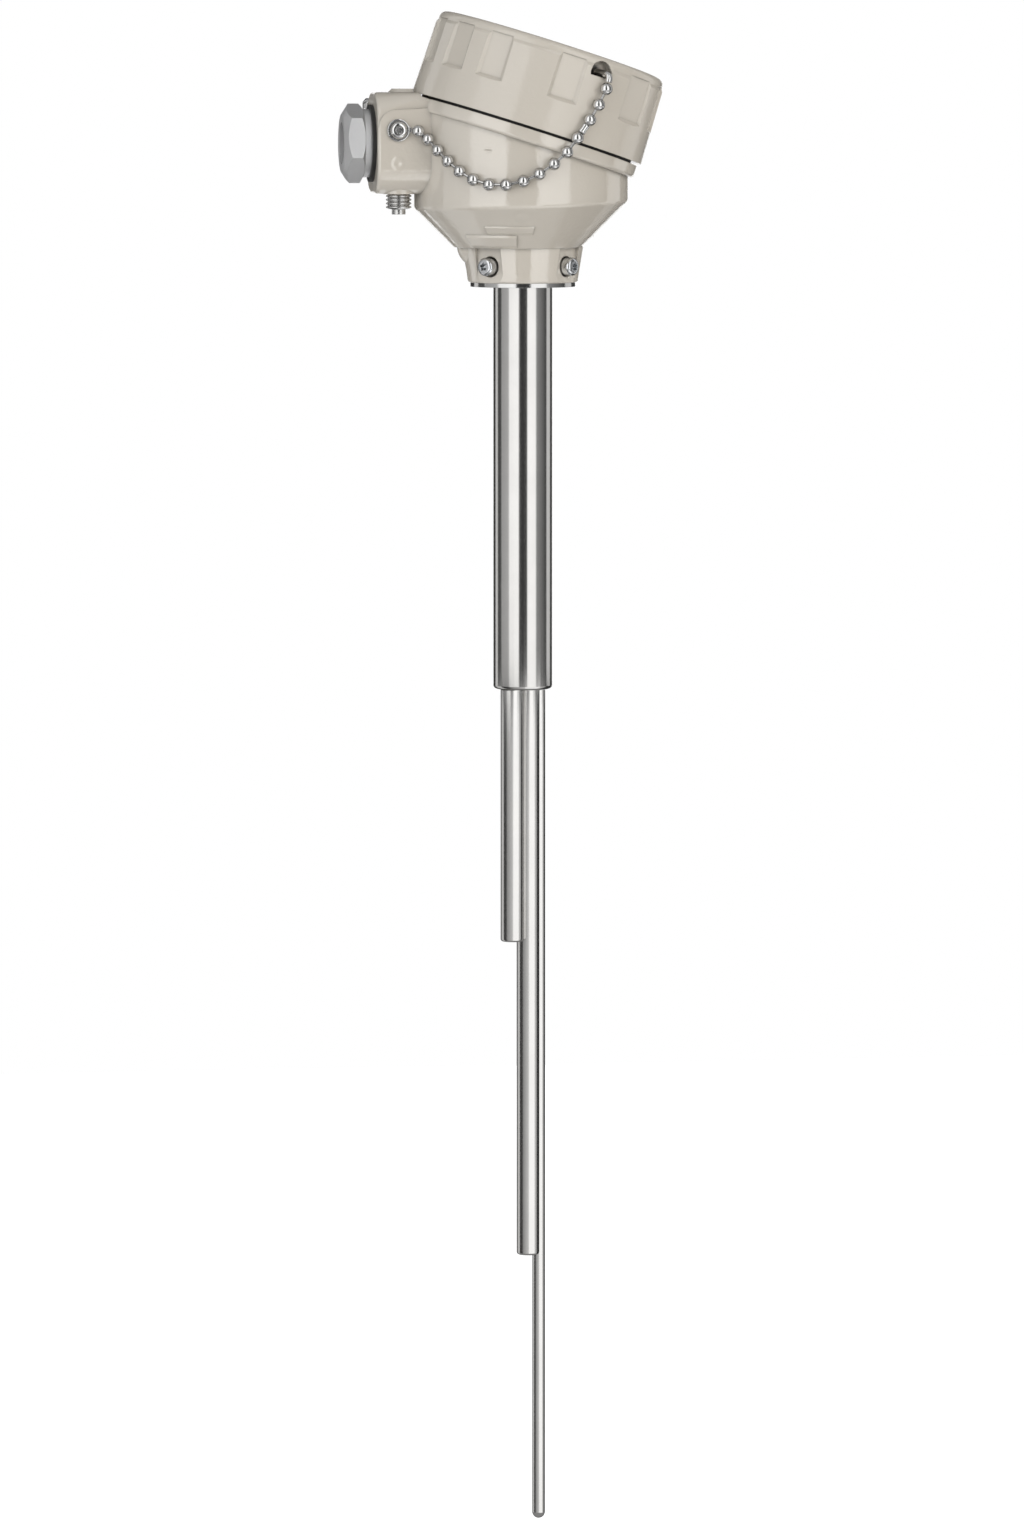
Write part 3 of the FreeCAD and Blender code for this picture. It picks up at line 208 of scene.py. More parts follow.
studio = {
    "ambientLevel": 0.9,     # light from the horizon
    "ambientAbove": 0.32,    # light from straight above
    "ambientBelow": 0.02,    # light from straight below
    "floorDrop": 0.75,       # floor below the lowest tip
    "floorSize": 14.0,
    "floorColor": (0.80, 0.80, 0.80, 1),
    "floorRoughness": 0.9,
    "floorLift": 0.78,       # keeps the floor as white as the surround behind it
    "lampRadius": 2.2,
    "cardRadius": 2.2,       # a wide ring of cards for the tube and the head
    "cardBottom": -0.95,
    "cardTop": 4.0,
    "rearCardRadius": 2.0,   # in front of the dark cards at the back, for views from behind
    "rearCardTop": 0.4,
    "lowCardRadius": 0.28,   # a low ring of cards nearer the stem, which the sheaths show
    "lowCardBottom": -0.55,
    "lowCardTop": -0.174,
}
# azimuths of lamps and cards are measured from the camera, to the right as it sees the object
lamps = [
    {"name": "leftLamp", "azimuth": -34, "elevation": 8, "power": 15.0, "size": 1.6,
     "color": (0.93, 0.955, 1.0)},
    {"name": "rightLamp", "azimuth": 37, "elevation": 8, "power": 15.0, "size": 1.6,
     "color": (1.0, 0.966, 0.92)},
    {"name": "rearLamp", "azimuth": 180, "elevation": 20, "power": 14.0, "size": 2.0,
     "color": (1.0, 1.0, 1.0)},
]
cards = [  # a card's shades run from its start to its end
    {"name": "cameraFlag", "start": -14, "end": 17, "shades": (0.05, 0.05)},
    {"name": "leftSoftbox", "start": -55, "end": -16, "shades": (1.30, 1.42)},
    {"name": "leftGrey", "start": -90, "end": -56, "shades": (0.44, 0.58)},
    {"name": "leftFlag", "start": -115, "end": -91, "shades": (0.08, 0.10)},
    {"name": "leftEdge", "start": -133, "end": -115, "shades": (0.76, 0.76)},
    {"name": "leftRear", "start": -181, "end": -133, "shades": (0.05, 0.05)},
    {"name": "rightSoftbox", "start": 18.5, "end": 52, "shades": (1.42, 1.36)},
    {"name": "rightFlag", "start": 54, "end": 106, "shades": (0.36, 0.04)},
    {"name": "rightEdge", "start": 106, "end": 133, "shades": (0.70, 0.76)},
    {"name": "rightRear", "start": 133, "end": 181, "shades": (0.06, 0.06)},
]
rearSoftbox = {"name": "rearSoftbox", "start": 166, "end": 194, "shades": (1.20, 1.20)}
lowCards = [
    {"name": "lowLeftRear", "start": -167, "end": -133, "shades": (0.05, 0.05)},
    {"name": "lowLeftEdge", "start": -133, "end": -92, "shades": (0.60, 0.65)},
    {"name": "lowLeftFlag", "start": -92, "end": -54, "shades": (0.03, 0.06)},
    {"name": "lowLeftGrey", "start": -54, "end": 10, "shades": (0.24, 0.70)},
    {"name": "lowSoftbox", "start": 10, "end": 72, "shades": (1.22, 1.25)},
    {"name": "lowRightGrey", "start": 72, "end": 102, "shades": (0.75, 0.35)},
    {"name": "lowRightFlag", "start": 102, "end": 167, "shades": (0.03, 0.04)},
    {"name": "lowRearSoftbox", "start": 166, "end": 194, "shades": (1.20, 1.20)},
]
levelCards = [
    {"name": "overheadFlag", "height": 4.05, "size": 9.0, "shade": 0.42},
    {"name": "underFlag", "height": -1.0, "size": 4.0, "shade": 0.28},
]
seenRays = ["Is Camera Ray", "Is Glossy Ray", "Is Transmission Ray"]  # rays that show the surround as white


def lightPathMask(tree, kinds):
    path = tree.nodes.new("ShaderNodeLightPath")
    total = path.outputs[kinds[0]]
    for kind in kinds[1:]:
        larger = tree.nodes.new("ShaderNodeMath")
        larger.operation = "MAXIMUM"
        tree.links.new(total, larger.inputs[0])
        tree.links.new(path.outputs[kind], larger.inputs[1])
        total = larger.outputs[0]
    return total


def makeWorld(spec):
    world = bpy.data.worlds.new("whiteSurround")
    world.use_nodes = True
    tree = world.node_tree
    tree.nodes.clear()
    out = tree.nodes.new("ShaderNodeOutputWorld")
    mix = tree.nodes.new("ShaderNodeMixShader")
    lighting = addNode(tree, "ShaderNodeBackground", Color=(1, 1, 1, 1))
    backdrop = addNode(tree, "ShaderNodeBackground", Color=(1, 1, 1, 1), Strength=1.0)
    split = tree.nodes.new("ShaderNodeSeparateXYZ")
    weaker = tree.nodes.new("ShaderNodeMath")
    weaker.operation = "MINIMUM"
    tree.links.new(tree.nodes.new("ShaderNodeTexCoord").outputs["Generated"], split.inputs[0])
    straightUpAndDown = [(1, spec["ambientAbove"]), (-1, spec["ambientBelow"])]
    for index, (steep, level) in enumerate(straightUpAndDown):
        fall = tree.nodes.new("ShaderNodeMapRange")
        fall.inputs["From Max"].default_value = steep
        fall.inputs["To Min"].default_value = spec["ambientLevel"]
        fall.inputs["To Max"].default_value = level
        tree.links.new(split.outputs["Z"], fall.inputs["Value"])
        tree.links.new(fall.outputs["Result"], weaker.inputs[index])
    tree.links.new(weaker.outputs[0], lighting.inputs["Strength"])
    tree.links.new(lightPathMask(tree, seenRays), mix.inputs[0])
    tree.links.new(lighting.outputs[0], mix.inputs[1])
    tree.links.new(backdrop.outputs[0], mix.inputs[2])
    tree.links.new(mix.outputs[0], out.inputs["Surface"])
    scene.world = world


def makeFloor(spec):
    material, tree, shader = newMaterial("paleFloor")
    shader.inputs["Base Color"].default_value = spec["floorColor"]
    shader.inputs["Roughness"].default_value = spec["floorRoughness"]
    shader.inputs["Emission Strength"].default_value = spec["floorLift"]
    tree.links.new(lightPathMask(tree, seenRays), shader.inputs["Emission Color"])
    level = cadBox[0].z - spec["floorDrop"]
    deselectAll()
    bpy.ops.mesh.primitive_plane_add(size=spec["floorSize"], location=(0, 0, level))
    floor = bpy.context.object
    floor.name = "floor"
    floor.data.materials.append(material)
    applyPlace(floor)


def makeLamp(lamp, radius):
    turn = math.radians(lamp["azimuth"] + photoCamera["azimuth"])
    rise = math.radians(lamp["elevation"])
    toward = Vector((math.sin(turn) * math.cos(rise), -math.cos(turn) * math.cos(rise), math.sin(rise)))
    deselectAll()
    bpy.ops.object.light_add(type="AREA", location=toward * radius)
    light = bpy.context.object
    light.name = lamp["name"]
    light.data.energy = lamp["power"]
    light.data.shape = "SQUARE"
    light.data.size = lamp["size"]
    light.data.color = lamp["color"]
    light.rotation_euler = (-toward).to_track_quat("-Z", "Y").to_euler()
    light.visible_glossy = False


def glowMaterial(name, shades):
    material, tree, glow = newMaterial(name, "ShaderNodeEmission")
    glow.inputs["Strength"].default_value = 1.0
    ramp = tree.nodes.new("ShaderNodeValToRGB")
    split = tree.nodes.new("ShaderNodeSeparateXYZ")
    coords = tree.nodes.new("ShaderNodeTexCoord")
    for element, shade in zip(ramp.color_ramp.elements, shades):
        element.color = (shade, shade, shade, 1)
    tree.links.new(coords.outputs["UV"], split.inputs[0])
    tree.links.new(split.outputs["X"], ramp.inputs["Fac"])
    tree.links.new(ramp.outputs["Color"], glow.inputs["Color"])
    return material


def showOnlyInReflections(panel, material):
    panel.data.materials.append(material)
    applyPlace(panel)
    panel.visible_camera = False
    panel.visible_diffuse = False
    panel.visible_shadow = False
    panel.visible_transmission = False


def makeCard(card, radius, bottom, top):
    start = math.radians(card["start"] + photoCamera["azimuth"])
    end = math.radians(card["end"] + photoCamera["azimuth"])
    middle = (start + end) / 2
    deselectAll()
    bpy.ops.mesh.primitive_plane_add(
        size=1,
        location=(math.sin(middle) * radius, -math.cos(middle) * radius, (bottom + top) / 2),
        rotation=(math.radians(90), 0, middle),
    )
    panel = bpy.context.object
    panel.name = card["name"]
    panel.scale = (2 * radius * math.tan((end - start) / 2), top - bottom, 1)
    showOnlyInReflections(panel, glowMaterial(card["name"], card["shades"]))


def makeLevelCard(card):
    deselectAll()
    bpy.ops.mesh.primitive_plane_add(size=card["size"], location=(0, 0, card["height"]))
    panel = bpy.context.object
    panel.name = card["name"]
    showOnlyInReflections(panel, glowMaterial(card["name"], (card["shade"], card["shade"])))


makeWorld(studio)
makeFloor(studio)
for lamp in lamps:
    makeLamp(lamp, studio["lampRadius"])
for card in cards:
    makeCard(card, studio["cardRadius"], studio["cardBottom"], studio["cardTop"])
makeCard(rearSoftbox, studio["rearCardRadius"], studio["cardBottom"], studio["rearCardTop"])
for card in lowCards:
    makeCard(card, studio["lowCardRadius"], studio["lowCardBottom"], studio["lowCardTop"])
for card in levelCards:
    makeLevelCard(card)
print("studio ready")


# shader groups that several finishes share; they read the piece's own coordinates

def toneDriftGroup():
    group, start, end = startGroup(
        "toneDrift",
        [("Light", "NodeSocketColor", None), ("Dark", "NodeSocketColor", None),
         ("Scale", "NodeSocketFloat", 30.0)],
        [("Color", "NodeSocketColor"), ("Mask", "NodeSocketFloat")],
    )
    noise = addNode(group, "ShaderNodeTexNoise", Detail=4.0, Roughness=0.55)
    spread = group.nodes.new("ShaderNodeMapRange")
    spread.inputs["From Min"].default_value = 0.25
    spread.inputs["From Max"].default_value = 0.75
    mix = group.nodes.new("ShaderNodeMix")
    mix.data_type = "RGBA"
    group.links.new(objectCoords(group), noise.inputs["Vector"])
    group.links.new(start.outputs["Scale"], noise.inputs["Scale"])
    group.links.new(noise.outputs["Fac"], spread.inputs["Value"])
    group.links.new(spread.outputs["Result"], mix.inputs["Factor"])
    group.links.new(start.outputs["Light"], mix.inputs[6])  # the mix node's colour sockets
    group.links.new(start.outputs["Dark"], mix.inputs[7])
    group.links.new(mix.outputs[2], end.inputs["Color"])
    group.links.new(spread.outputs["Result"], end.inputs["Mask"])
    return group


def fineLinesGroup():
    group, start, end = startGroup(
        "fineLines",
        [("Stretch", "NodeSocketVector", (1.0, 1.0, 1.0)), ("Low", "NodeSocketFloat", 0.1),
         ("High", "NodeSocketFloat", 0.3)],
        [("Roughness", "NodeSocketFloat"), ("Height", "NodeSocketFloat")],
    )
    scaled = group.nodes.new("ShaderNodeVectorMath")
    scaled.operation = "MULTIPLY"
    lines = addNode(group, "ShaderNodeTexNoise", Scale=1.0, Detail=5.0, Roughness=0.6)
    spread = group.nodes.new("ShaderNodeMapRange")
    spread.inputs["From Min"].default_value = 0.3
    spread.inputs["From Max"].default_value = 0.7
    group.links.new(objectCoords(group), scaled.inputs[0])
    group.links.new(start.outputs["Stretch"], scaled.inputs[1])
    group.links.new(scaled.outputs[0], lines.inputs["Vector"])
    group.links.new(lines.outputs["Fac"], spread.inputs["Value"])
    group.links.new(start.outputs["Low"], spread.inputs["To Min"])
    group.links.new(start.outputs["High"], spread.inputs["To Max"])
    group.links.new(spread.outputs["Result"], end.inputs["Roughness"])
    group.links.new(lines.outputs["Fac"], end.inputs["Height"])
    return group


def shallowMarkGroup():
    # a shallow ring or hollow round a place on the piece, flat elsewhere
    group, start, end = startGroup(
        "shallowMark",
        [("Center", "NodeSocketVector", (0.0, 0.0, 0.0)), ("Spread", "NodeSocketVector", (1.0, 1.0, 1.0)),
         ("Inner", "NodeSocketFloat", 0.0), ("Depth", "NodeSocketFloat", 1.0)],
        [("Height", "NodeSocketFloat")],
    )
    away = group.nodes.new("ShaderNodeVectorMath")
    away.operation = "SUBTRACT"
    scaled = group.nodes.new("ShaderNodeVectorMath")
    scaled.operation = "DIVIDE"
    reach = group.nodes.new("ShaderNodeVectorMath")
    reach.operation = "LENGTH"
    offset = group.nodes.new("ShaderNodeMath")
    offset.operation = "SUBTRACT"
    around = group.nodes.new("ShaderNodeMath")
    around.operation = "ABSOLUTE"
    fade = group.nodes.new("ShaderNodeMapRange")
    fade.interpolation_type = "SMOOTHSTEP"
    fade.inputs["To Max"].default_value = 0.0
    group.links.new(objectCoords(group), away.inputs[0])
    group.links.new(start.outputs["Center"], away.inputs[1])
    group.links.new(away.outputs[0], scaled.inputs[0])
    group.links.new(start.outputs["Spread"], scaled.inputs[1])
    group.links.new(scaled.outputs[0], reach.inputs[0])
    group.links.new(reach.outputs["Value"], offset.inputs[0])
    group.links.new(start.outputs["Inner"], offset.inputs[1])
    group.links.new(offset.outputs[0], around.inputs[0])
    group.links.new(around.outputs[0], fade.inputs["Value"])
    group.links.new(start.outputs["Depth"], fade.inputs["To Min"])
    group.links.new(fade.outputs["Result"], end.inputs["Height"])
    return group


toneDrift = toneDriftGroup()
fineLines = fineLinesGroup()
shallowMark = shallowMarkGroup()


# finishes; edge is the radius to which the light rounds off sharp corners

edgeRays = 6


def addBump(tree, shader, height, distance, edge):
    bump = addNode(tree, "ShaderNodeBump", Strength=1.0, Distance=distance)
    tree.links.new(height, bump.inputs["Height"])
    if edge:
        rounded = addNode(tree, "ShaderNodeBevel", Radius=edge)
        rounded.samples = edgeRays
        tree.links.new(rounded.outputs["Normal"], bump.inputs["Normal"])
    tree.links.new(bump.outputs["Normal"], shader.inputs["Normal"])


enamel = {
    "light": (0.602, 0.559, 0.490, 1),
    "dark": (0.582, 0.538, 0.468, 1),
    "driftScale": 16.0,
    "peelScale": 650.0,
    "peelDepth": 0.00006,
    "roughness": (0.05, 0.08),
    "specular": 1.0,
    "ior": 1.65,
    "edge": 0.0005,
    "creaseReach": 0.0020,   # how far from a corner the painted shade reaches
    # painted shade: the share of the paint's colour left in corners and creases
    "creaseShade": 0.5,
    "creaseRays": 8,
}
lidEnamel = {
    **enamel,
    # painted shade: the lid's paint is a darker copy of the head's, offsetting the stronger light the lid
    # gets
    "light": (0.578, 0.537, 0.471, 1),
    "dark": (0.560, 0.517, 0.450, 1),
    "roughness": (0.10, 0.15),
    "specular": 0.6,
    "ior": 1.5,
    "edge": 0.0004,
    "creaseReach": 0.0015,
    "creaseShade": 0.35,
}
pocketPaintedShade = {              # painted shade in the depth of the lid's pocket, which hardly any light reaches
    "place": {"Center": (0.02235, -0.03870, 0.07950), "Spread": (0.0052, 0.0034, 0.0052)},
    "darkFrom": 0.15,        # how far inside its spread the painted shade is at its darkest
    "shade": 0.08,
}
# marks left by the mould on the head: centre, spread, ring radius within the spread, depth in peel depths
headMarks = [
    {"Center": (-0.0179, -0.0359, 0.0507), "Spread": (0.0022, 0.0022, 0.0009), "Inner": 0.0, "Depth": -5.0},
    {"Center": (-0.0179, -0.0359, 0.0514), "Spread": (0.0020, 0.0020, 0.0007), "Inner": 0.0, "Depth": 4.0},
    {"Center": (-0.0051, -0.0350, 0.0261), "Spread": (0.0022, 0.0022, 0.0022), "Inner": 1.3, "Depth": -2.0},
    {"Center": (-0.0487, -0.0178, 0.0458), "Spread": (0.0016, 0.0016, 0.0016), "Inner": 0.9, "Depth": -1.5},
    {"Center": (-0.0514, -0.0120, 0.0686), "Spread": (0.0018, 0.0030, 0.0014), "Inner": 0.0, "Depth": -4.0},
]


def enamelPaint(name, spec, marks, pocket=None):
    material, tree, shader = newMaterial(name)
    drift = useGroup(tree, toneDrift, Light=spec["light"], Dark=spec["dark"], Scale=spec["driftScale"])
    peel = addNode(tree, "ShaderNodeTexNoise", Scale=spec["peelScale"], Detail=1.0, Roughness=0.4)
    gloss = tree.nodes.new("ShaderNodeMapRange")
    gloss.inputs["To Min"].default_value = spec["roughness"][0]
    gloss.inputs["To Max"].default_value = spec["roughness"][1]
    tree.links.new(objectCoords(tree), peel.inputs["Vector"])
    tree.links.new(drift.outputs["Mask"], gloss.inputs["Value"])
    tree.links.new(gloss.outputs["Result"], shader.inputs["Roughness"])
    # painted shade: ambient occlusion darkens the base colour in corners, creases and recesses
    crease = addNode(tree, "ShaderNodeAmbientOcclusion", Distance=spec["creaseReach"])
    crease.samples = spec["creaseRays"]
    crease.only_local = True
    shade = tree.nodes.new("ShaderNodeMapRange")
    shade.inputs["To Min"].default_value = spec["creaseShade"]
    tree.links.new(crease.outputs["AO"], shade.inputs["Value"])
    strength = shade.outputs["Result"]
    # painted shade: the base colour is dimmed further inside the lid's pocket
    if pocket:
        inside = useGroup(tree, shallowMark, **pocket["place"])
        dim = tree.nodes.new("ShaderNodeMapRange")
        dim.inputs["From Max"].default_value = pocket["darkFrom"]
        dim.inputs["To Min"].default_value = 1.0
        dim.inputs["To Max"].default_value = pocket["shade"]
        both = tree.nodes.new("ShaderNodeMath")
        both.operation = "MULTIPLY"
        tree.links.new(inside.outputs["Height"], dim.inputs["Value"])
        tree.links.new(strength, both.inputs[0])
        tree.links.new(dim.outputs["Result"], both.inputs[1])
        strength = both.outputs[0]
    tint = tree.nodes.new("ShaderNodeVectorMath")
    tint.operation = "SCALE"
    tree.links.new(drift.outputs["Color"], tint.inputs[0])
    tree.links.new(strength, tint.inputs["Scale"])
    tree.links.new(tint.outputs[0], shader.inputs["Base Color"])
    height = peel.outputs["Fac"]
    for mark in marks:
        added = tree.nodes.new("ShaderNodeMath")
        tree.links.new(height, added.inputs[0])
        tree.links.new(useGroup(tree, shallowMark, **mark).outputs["Height"], added.inputs[1])
        height = added.outputs[0]
    addBump(tree, shader, height, spec["peelDepth"], spec["edge"])
    shader.inputs["Specular IOR Level"].default_value = spec["specular"]
    shader.inputs["IOR"].default_value = spec["ior"]
    return material


def metalFinish(name, spec):
    material, tree, shader = newMaterial(name)
    drift = useGroup(tree, toneDrift, Light=spec["light"], Dark=spec["dark"], Scale=spec["driftScale"])
    low, high = spec["roughness"]
    lines = useGroup(tree, fineLines, Stretch=spec["stretch"], Low=low, High=high)
    tree.links.new(drift.outputs["Color"], shader.inputs["Base Color"])
    tree.links.new(lines.outputs["Roughness"], shader.inputs["Roughness"])
    rim = spec["rimTint"]
    shader.inputs["Metallic"].default_value = 1.0
    shader.inputs["Specular Tint"].default_value = (rim, rim, rim, 1)
    addBump(tree, shader, lines.outputs["Height"], spec["lineDepth"], spec["edge"])
    return material


def dullFinish(name, spec):
    material, tree, shader = newMaterial(name)
    drift = useGroup(tree, toneDrift, Light=spec["light"], Dark=spec["dark"], Scale=spec["driftScale"])
    grain = addNode(tree, "ShaderNodeTexNoise", Scale=spec["grainScale"], Detail=4.0, Roughness=0.6)
    tree.links.new(objectCoords(tree), grain.inputs["Vector"])
    tree.links.new(drift.outputs["Color"], shader.inputs["Base Color"])
    shader.inputs["Roughness"].default_value = spec["roughness"]
    addBump(tree, shader, grain.outputs["Fac"], spec["grainDepth"], 0.0)
    return material


# drawn lines run along the stem and turned lines round it; rimTint is how bright a metal's rim stays
drawn = {"stretch": (2600, 2600, 5), "driftScale": 60.0, "edge": 0.0, "rimTint": 1.0}
turned = {"stretch": (300, 300, 2600), "driftScale": 60.0, "edge": 0.0002, "rimTint": 1.0}
plated = {"stretch": (700, 700, 700), "driftScale": 300.0, "edge": 0.0002, "lineDepth": 0.0000004}
metals = {
    "drawnSteel": {
        **drawn, "light": (0.67, 0.66, 0.645, 1), "dark": (0.61, 0.60, 0.585, 1),
        "roughness": (0.09, 0.17), "lineDepth": 0.0000008,
    },
    "sheathSteel": {
        **drawn, "light": (0.76, 0.75, 0.735, 1), "dark": (0.71, 0.70, 0.685, 1),
        "roughness": (0.15, 0.21), "lineDepth": 0.0000004, "rimTint": 0.3,
    },
    "turnedSteel": {
        **turned, "light": (0.66, 0.655, 0.645, 1), "dark": (0.56, 0.555, 0.545, 1),
        "roughness": (0.20, 0.32), "lineDepth": 0.0000006,
    },
    "washerSteel": {
        **turned, "light": (0.66, 0.655, 0.645, 1), "dark": (0.60, 0.595, 0.585, 1),
        "roughness": (0.10, 0.16), "lineDepth": 0.0000004,
    },
    "satinNickel": {
        **turned, "light": (0.80, 0.80, 0.80, 1), "dark": (0.74, 0.74, 0.745, 1),
        "stretch": (500, 500, 500), "roughness": (0.46, 0.54), "lineDepth": 0.0000012,
    },
    "beadNickel": {
        **plated, "light": (0.80, 0.795, 0.785, 1), "dark": (0.70, 0.695, 0.685, 1),
        "roughness": (0.09, 0.14), "rimTint": 0.0,
    },
    "linkSteel": {
        **plated, "light": (0.56, 0.555, 0.545, 1), "dark": (0.48, 0.475, 0.465, 1),
        "roughness": (0.12, 0.20), "edge": 0.0, "rimTint": 0.0,
    },
    "brightChrome": {
        **plated, "light": (0.80, 0.795, 0.785, 1), "dark": (0.72, 0.715, 0.705, 1),
        "roughness": (0.12, 0.18), "rimTint": 0.2,
    },
    "clearZinc": {
        **plated, "light": (0.77, 0.785, 0.80, 1), "dark": (0.70, 0.712, 0.725, 1),
        "roughness": (0.12, 0.18), "rimTint": 0.2,
    },
    "turnedBrass": {
        **turned, "light": (0.72, 0.56, 0.26, 1), "dark": (0.60, 0.44, 0.18, 1),
        "stretch": (400, 400, 2200), "roughness": (0.22, 0.36), "lineDepth": 0.0000006, "edge": 0.0,
    },
}
dulls = {
    "blackRubber": {
        "light": (0.022, 0.022, 0.022, 1), "dark": (0.012, 0.012, 0.012, 1), "driftScale": 80.0,
        "roughness": 0.55, "grainScale": 900.0, "grainDepth": 0.00003,
    },
    "castResin": {
        "light": (0.10, 0.07, 0.05, 1), "dark": (0.06, 0.04, 0.03, 1), "driftScale": 60.0,
        "roughness": 0.5, "grainScale": 400.0, "grainDepth": 0.00005,
    },
    "bisqueCeramic": {
        "light": (0.78, 0.75, 0.68, 1), "dark": (0.70, 0.66, 0.58, 1), "driftScale": 50.0,
        "roughness": 0.7, "grainScale": 700.0, "grainDepth": 0.00004,
    },
}
finishes = {
    "headPaint": enamelPaint("headPaint", enamel, headMarks),
    "lidPaint": enamelPaint("lidPaint", lidEnamel, [], pocketPaintedShade),
}
for name, spec in metals.items():
    finishes[name] = metalFinish(name, spec)
for name, spec in dulls.items():
    finishes[name] = dullFinish(name, spec)
print("finishes ready:", len(finishes))


# finish of each piece of the frame; the chain made below takes the place of retaining_chain

finishOf = {
    "head_body": "headPaint",
    "lid": "lidPaint",
    "lid_gasket": "blackRubber",
    "gland_nut": "satinNickel",
    "gland_ring": "blackRubber",
    "gland_washer": "turnedSteel",
    "gland_seal": "blackRubber",
    "retaining_chain": "brightChrome",
    "chain_ring": "brightChrome",
    "chain_eyelet": "brightChrome",
    "chain_screw": "brightChrome",
    "set_screws": "clearZinc",
    "earth_stud": "turnedSteel",
    "earth_screw": "brightChrome",
    "stop_washer": "washerSteel",
    "extension_tube": "drawnSteel",
    "short_sheath": "sheathSteel",
    "middle_sheath": "sheathSteel",
    "long_sheath": "sheathSteel",
    "short_element": "turnedSteel",
    "middle_element": "turnedSteel",
    "long_element": "turnedSteel",
    "potting_seal": "castResin",
    "terminal_base": "bisqueCeramic",
    "terminal_clamps": "turnedBrass",
    "terminal_screws": "turnedSteel",
    "base_screws": "turnedSteel",
    "positive_wires": "turnedSteel",
    "negative_wires": "turnedSteel",
}
for name, finish in finishOf.items():
    for slot in nodes[name].material_slots:
        slot.material = finishes[finish]
print("finishes given to", len(finishOf), "pieces")


# bead chain: hollow beads on short wires, a pear-shaped first bead and a rolled closing sleeve

beadChain = {                            # lengths in millimetres
    "beadRadius": 2.3,
    "beadPitch": 6.46,
    "beadLead": 4.7,                     # first bead to second bead
    "beadSides": 32,
    "beadRings": 20,
    "beadGrip": 1.02,                    # bead radii within which points follow a bead's middle
    "holeRadius": 0.9,
    "lipDepth": 0.3,
    "lipNarrowing": 0.8,
    "wireRadius": 0.62,
    "wireSides": 14,
    "wireReach": 0.8,                    # share of the way between two beads' middles
    "wireWaist": 0.88,
    "sleeveRadius": 1.5,
    "sleeveLength": 3.6,
    "sleeveSides": 28,
    "sleevePinch": 0.82,
    "sleeveRounding": 0.45,
    "sleeveRoundingSteps": 3,
    "beadsBefore": 13,                   # beads between the boss and the sleeve
    "beadsAfter": 3,                     # beads between the sleeve and the lid
    "pearTip": (-43.35, -18.50, 58.25),
    "pearSides": 32,
    "pearEnd": 0.93,                     # its wide end, in bead radii
    "pearShoulder": 1.12,
    "pearShoulderPlace": 0.1,            # beyond its middle, as a share of its length
    "sharpAngle": 40,                    # edges that turn by fewer degrees are shaded smooth
    "route": [                           # the chain's curve from the boss to the lid
        (-41.7, -20.5, 57.8), (-38.2, -20.8, 54.8), (-35.2, -24.8, 50.9), (-31.8, -29.0, 46.9),
        (-28.0, -32.6, 43.3), (-23.8, -35.7, 40.5), (-18.1, -38.9, 38.6), (-12.0, -41.1, 38.5),
        (-5.7, -42.3, 39.8), (0.2, -42.9, 42.5), (6.0, -43.9, 46.6), (10.3, -45.1, 50.7),
        (13.6, -45.7, 55.3), (18.8, -44.7, 62.6), (22.0, -44.1, 67.9), (24.7, -43.6, 73.4),
    ],
    "curveSteps": 24,                    # samples of the curve from one point of the route to the next
}


def beadSpots(spec):
    points = [Vector(point) * mm for point in spec["route"]]
    line = [points[0]]
    for index, (here, following) in enumerate(zip(points, points[1:])):
        before = points[max(index - 1, 0)]
        after = points[min(index + 2, len(points) - 1)]
        leave = here + (following - before) / 6  # a sixth, so that the curve has no kinks
        arrive = following - (after - here) / 6
        line += interpolate_bezier(here, leave, arrive, following, spec["curveSteps"])[1:]
    reach = [0.0]
    for first, second in zip(line, line[1:]):
        reach.append(reach[-1] + (second - first).length)
    pitch = spec["beadPitch"] * mm
    steps = [0.0] + [spec["beadLead"] * mm + number * pitch for number in range(spec["beadsBefore"] - 1)]
    steps += [reach[-1] - number * pitch for number in reversed(range(spec["beadsAfter"]))]
    spots = []
    for step in steps:
        end = bisect_left(reach, step, 1, len(reach) - 1)
        share = (step - reach[end - 1]) / (reach[end] - reach[end - 1])
        spots.append(line[end - 1].lerp(line[end], share))
    return spots


def aimedAlong(piece, middle, along, length=1.0):
    turn = along.to_track_quat("Z", "Y").to_matrix().to_4x4()
    piece.matrix_world = Matrix.Translation(middle) @ turn @ Matrix.Diagonal((1, 1, length, 1))
    applyPlace(piece)
    return piece


def resizeRing(height, share):
    # cuts a ring across the new piece at a height and makes it wider or narrower
    bpy.ops.object.mode_set(mode="EDIT")
    bpy.ops.mesh.select_all(action="SELECT")
    bpy.ops.mesh.bisect(plane_co=(0, 0, height), plane_no=(0, 0, 1))
    bpy.ops.transform.resize(value=(share, share, 1))
    bpy.ops.object.mode_set(mode="OBJECT")


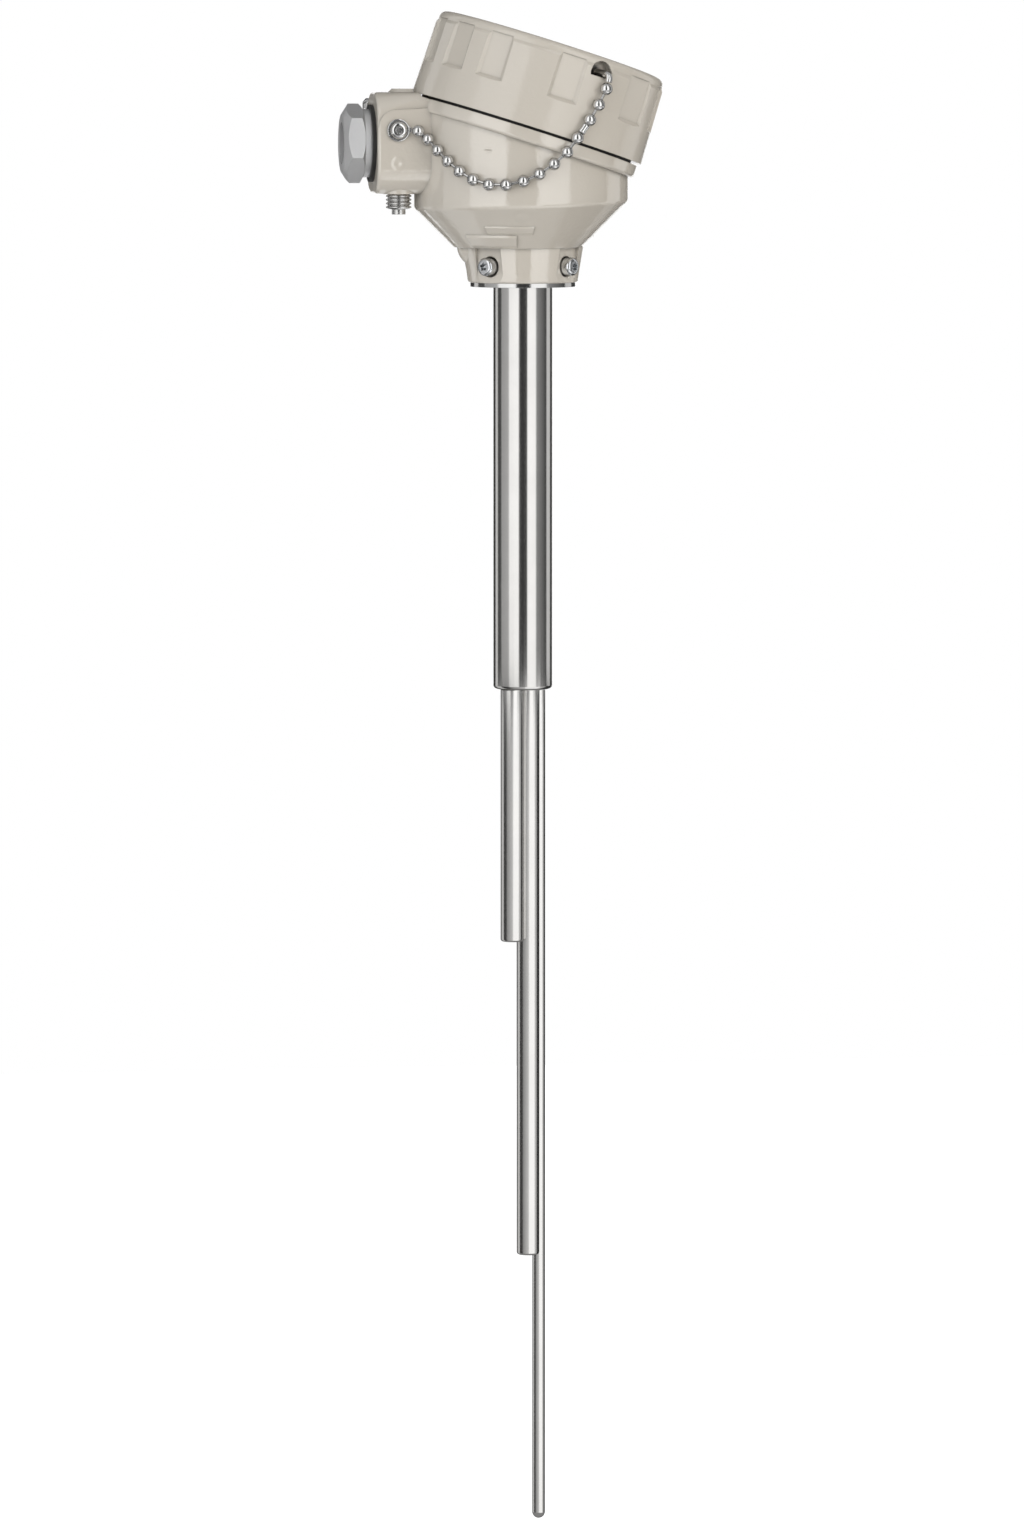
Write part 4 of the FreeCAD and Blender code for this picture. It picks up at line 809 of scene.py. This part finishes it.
def beadPattern(spec):
    radius = spec["beadRadius"] * mm
    hole = spec["holeRadius"] * mm
    cap = math.sqrt(radius ** 2 - hole ** 2)
    narrower = spec["lipNarrowing"]
    deselectAll()
    bpy.ops.mesh.primitive_uv_sphere_add(
        segments=spec["beadSides"], ring_count=spec["beadRings"], radius=radius)
    bead = bpy.context.object
    bead.name = "beadPattern"
    bpy.ops.object.mode_set(mode="EDIT")
    for side in (1, -1):
        bpy.ops.mesh.select_all(action="SELECT")
        bpy.ops.mesh.bisect(plane_co=(0, 0, side * cap), plane_no=(0, 0, side), clear_outer=True)
        # the lip of the wire's hole turns in
        bpy.ops.mesh.extrude_region_move(
            TRANSFORM_OT_translate={"value": (0, 0, -side * spec["lipDepth"] * mm)})
        bpy.ops.transform.resize(value=(narrower, narrower, 1), center_override=(0, 0, side * cap))
        bpy.ops.mesh.edge_face_add()
    bpy.ops.mesh.select_all(action="SELECT")
    bpy.ops.mesh.normals_make_consistent(inside=False)
    bpy.ops.object.mode_set(mode="OBJECT")
    bead.data.materials.append(finishes["beadNickel"])
    return bead


def wirePattern(spec):
    deselectAll()
    bpy.ops.mesh.primitive_cylinder_add(
        vertices=spec["wireSides"], radius=spec["wireRadius"] * mm, depth=1.0)
    wire = bpy.context.object
    wire.name = "wirePattern"
    resizeRing(0, spec["wireWaist"])
    wire.data.materials.append(finishes["linkSteel"])
    return wire


def closingSleeve(spec):
    radius = spec["sleeveRadius"] * mm
    length = spec["sleeveLength"] * mm
    deselectAll()
    bpy.ops.mesh.primitive_cylinder_add(vertices=spec["sleeveSides"], radius=radius, depth=length)
    sleeve = bpy.context.object
    resizeRing(0, spec["sleevePinch"])
    rounding = sleeve.modifiers.new("rounding", "BEVEL")
    rounding.width = spec["sleeveRounding"] * mm
    rounding.segments = spec["sleeveRoundingSteps"]
    rounding.limit_method = "ANGLE"
    rounding.angle_limit = math.radians(spec["sharpAngle"])
    bpy.ops.object.modifier_apply(modifier=rounding.name)
    sleeve.data.materials.append(finishes["beadNickel"])
    return sleeve


def pearLead(spec, first):
    tip = Vector(spec["pearTip"]) * mm
    along = first - tip
    deselectAll()
    bpy.ops.mesh.primitive_cone_add(
        vertices=spec["pearSides"],
        radius1=spec["wireRadius"] * mm,
        radius2=spec["beadRadius"] * spec["pearEnd"] * mm,
        depth=along.length,
    )
    lead = bpy.context.object
    resizeRing(along.length * spec["pearShoulderPlace"], spec["pearShoulder"])
    lead.data.materials.append(finishes["beadNickel"])
    return aimedAlong(lead, tip + along / 2, along)


def makeChain(spec):
    spots = beadSpots(spec)
    bead = beadPattern(spec)
    wire = wirePattern(spec)
    beads = []
    links = [pearLead(spec, spots[0])]
    for index, here in enumerate(spots):
        following = spots[min(index + 1, len(spots) - 1)]
        before = spots[max(index - 1, 0)]
        beads.append(aimedAlong(duplicateOf(bead, "bead"), here, following - before))
        if following is here:
            continue
        along = following - here
        middle = here + along / 2
        links.append(aimedAlong(duplicateOf(wire, "link"), middle, along, along.length * spec["wireReach"]))
        if index == spec["beadsBefore"] - 1:
            links.append(aimedAlong(closingSleeve(spec), middle, along))
    bpy.data.objects.remove(bead)
    bpy.data.objects.remove(wire)
    chain = joined(beads + links, "beadChain")
    smoothByAngle(chain, spec["sharpAngle"])
    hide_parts("retaining_chain")
    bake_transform(chain, "head", "lid", start=spots[0], end=spots[-1])
    follow = chain.data.attributes["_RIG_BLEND"].data
    reach = spec["beadRadius"] * spec["beadGrip"] * mm
    for spot in spots:  # a bead stays round: all of it follows as its middle does
        near = [point.index for point in chain.data.vertices if (point.co - spot).length < reach]
        share = sum(follow[index].value for index in near) / len(near)
        for index in near:
            follow[index].value = share
    print("bead chain made:", len(spots), "beads")


makeChain(beadChain)
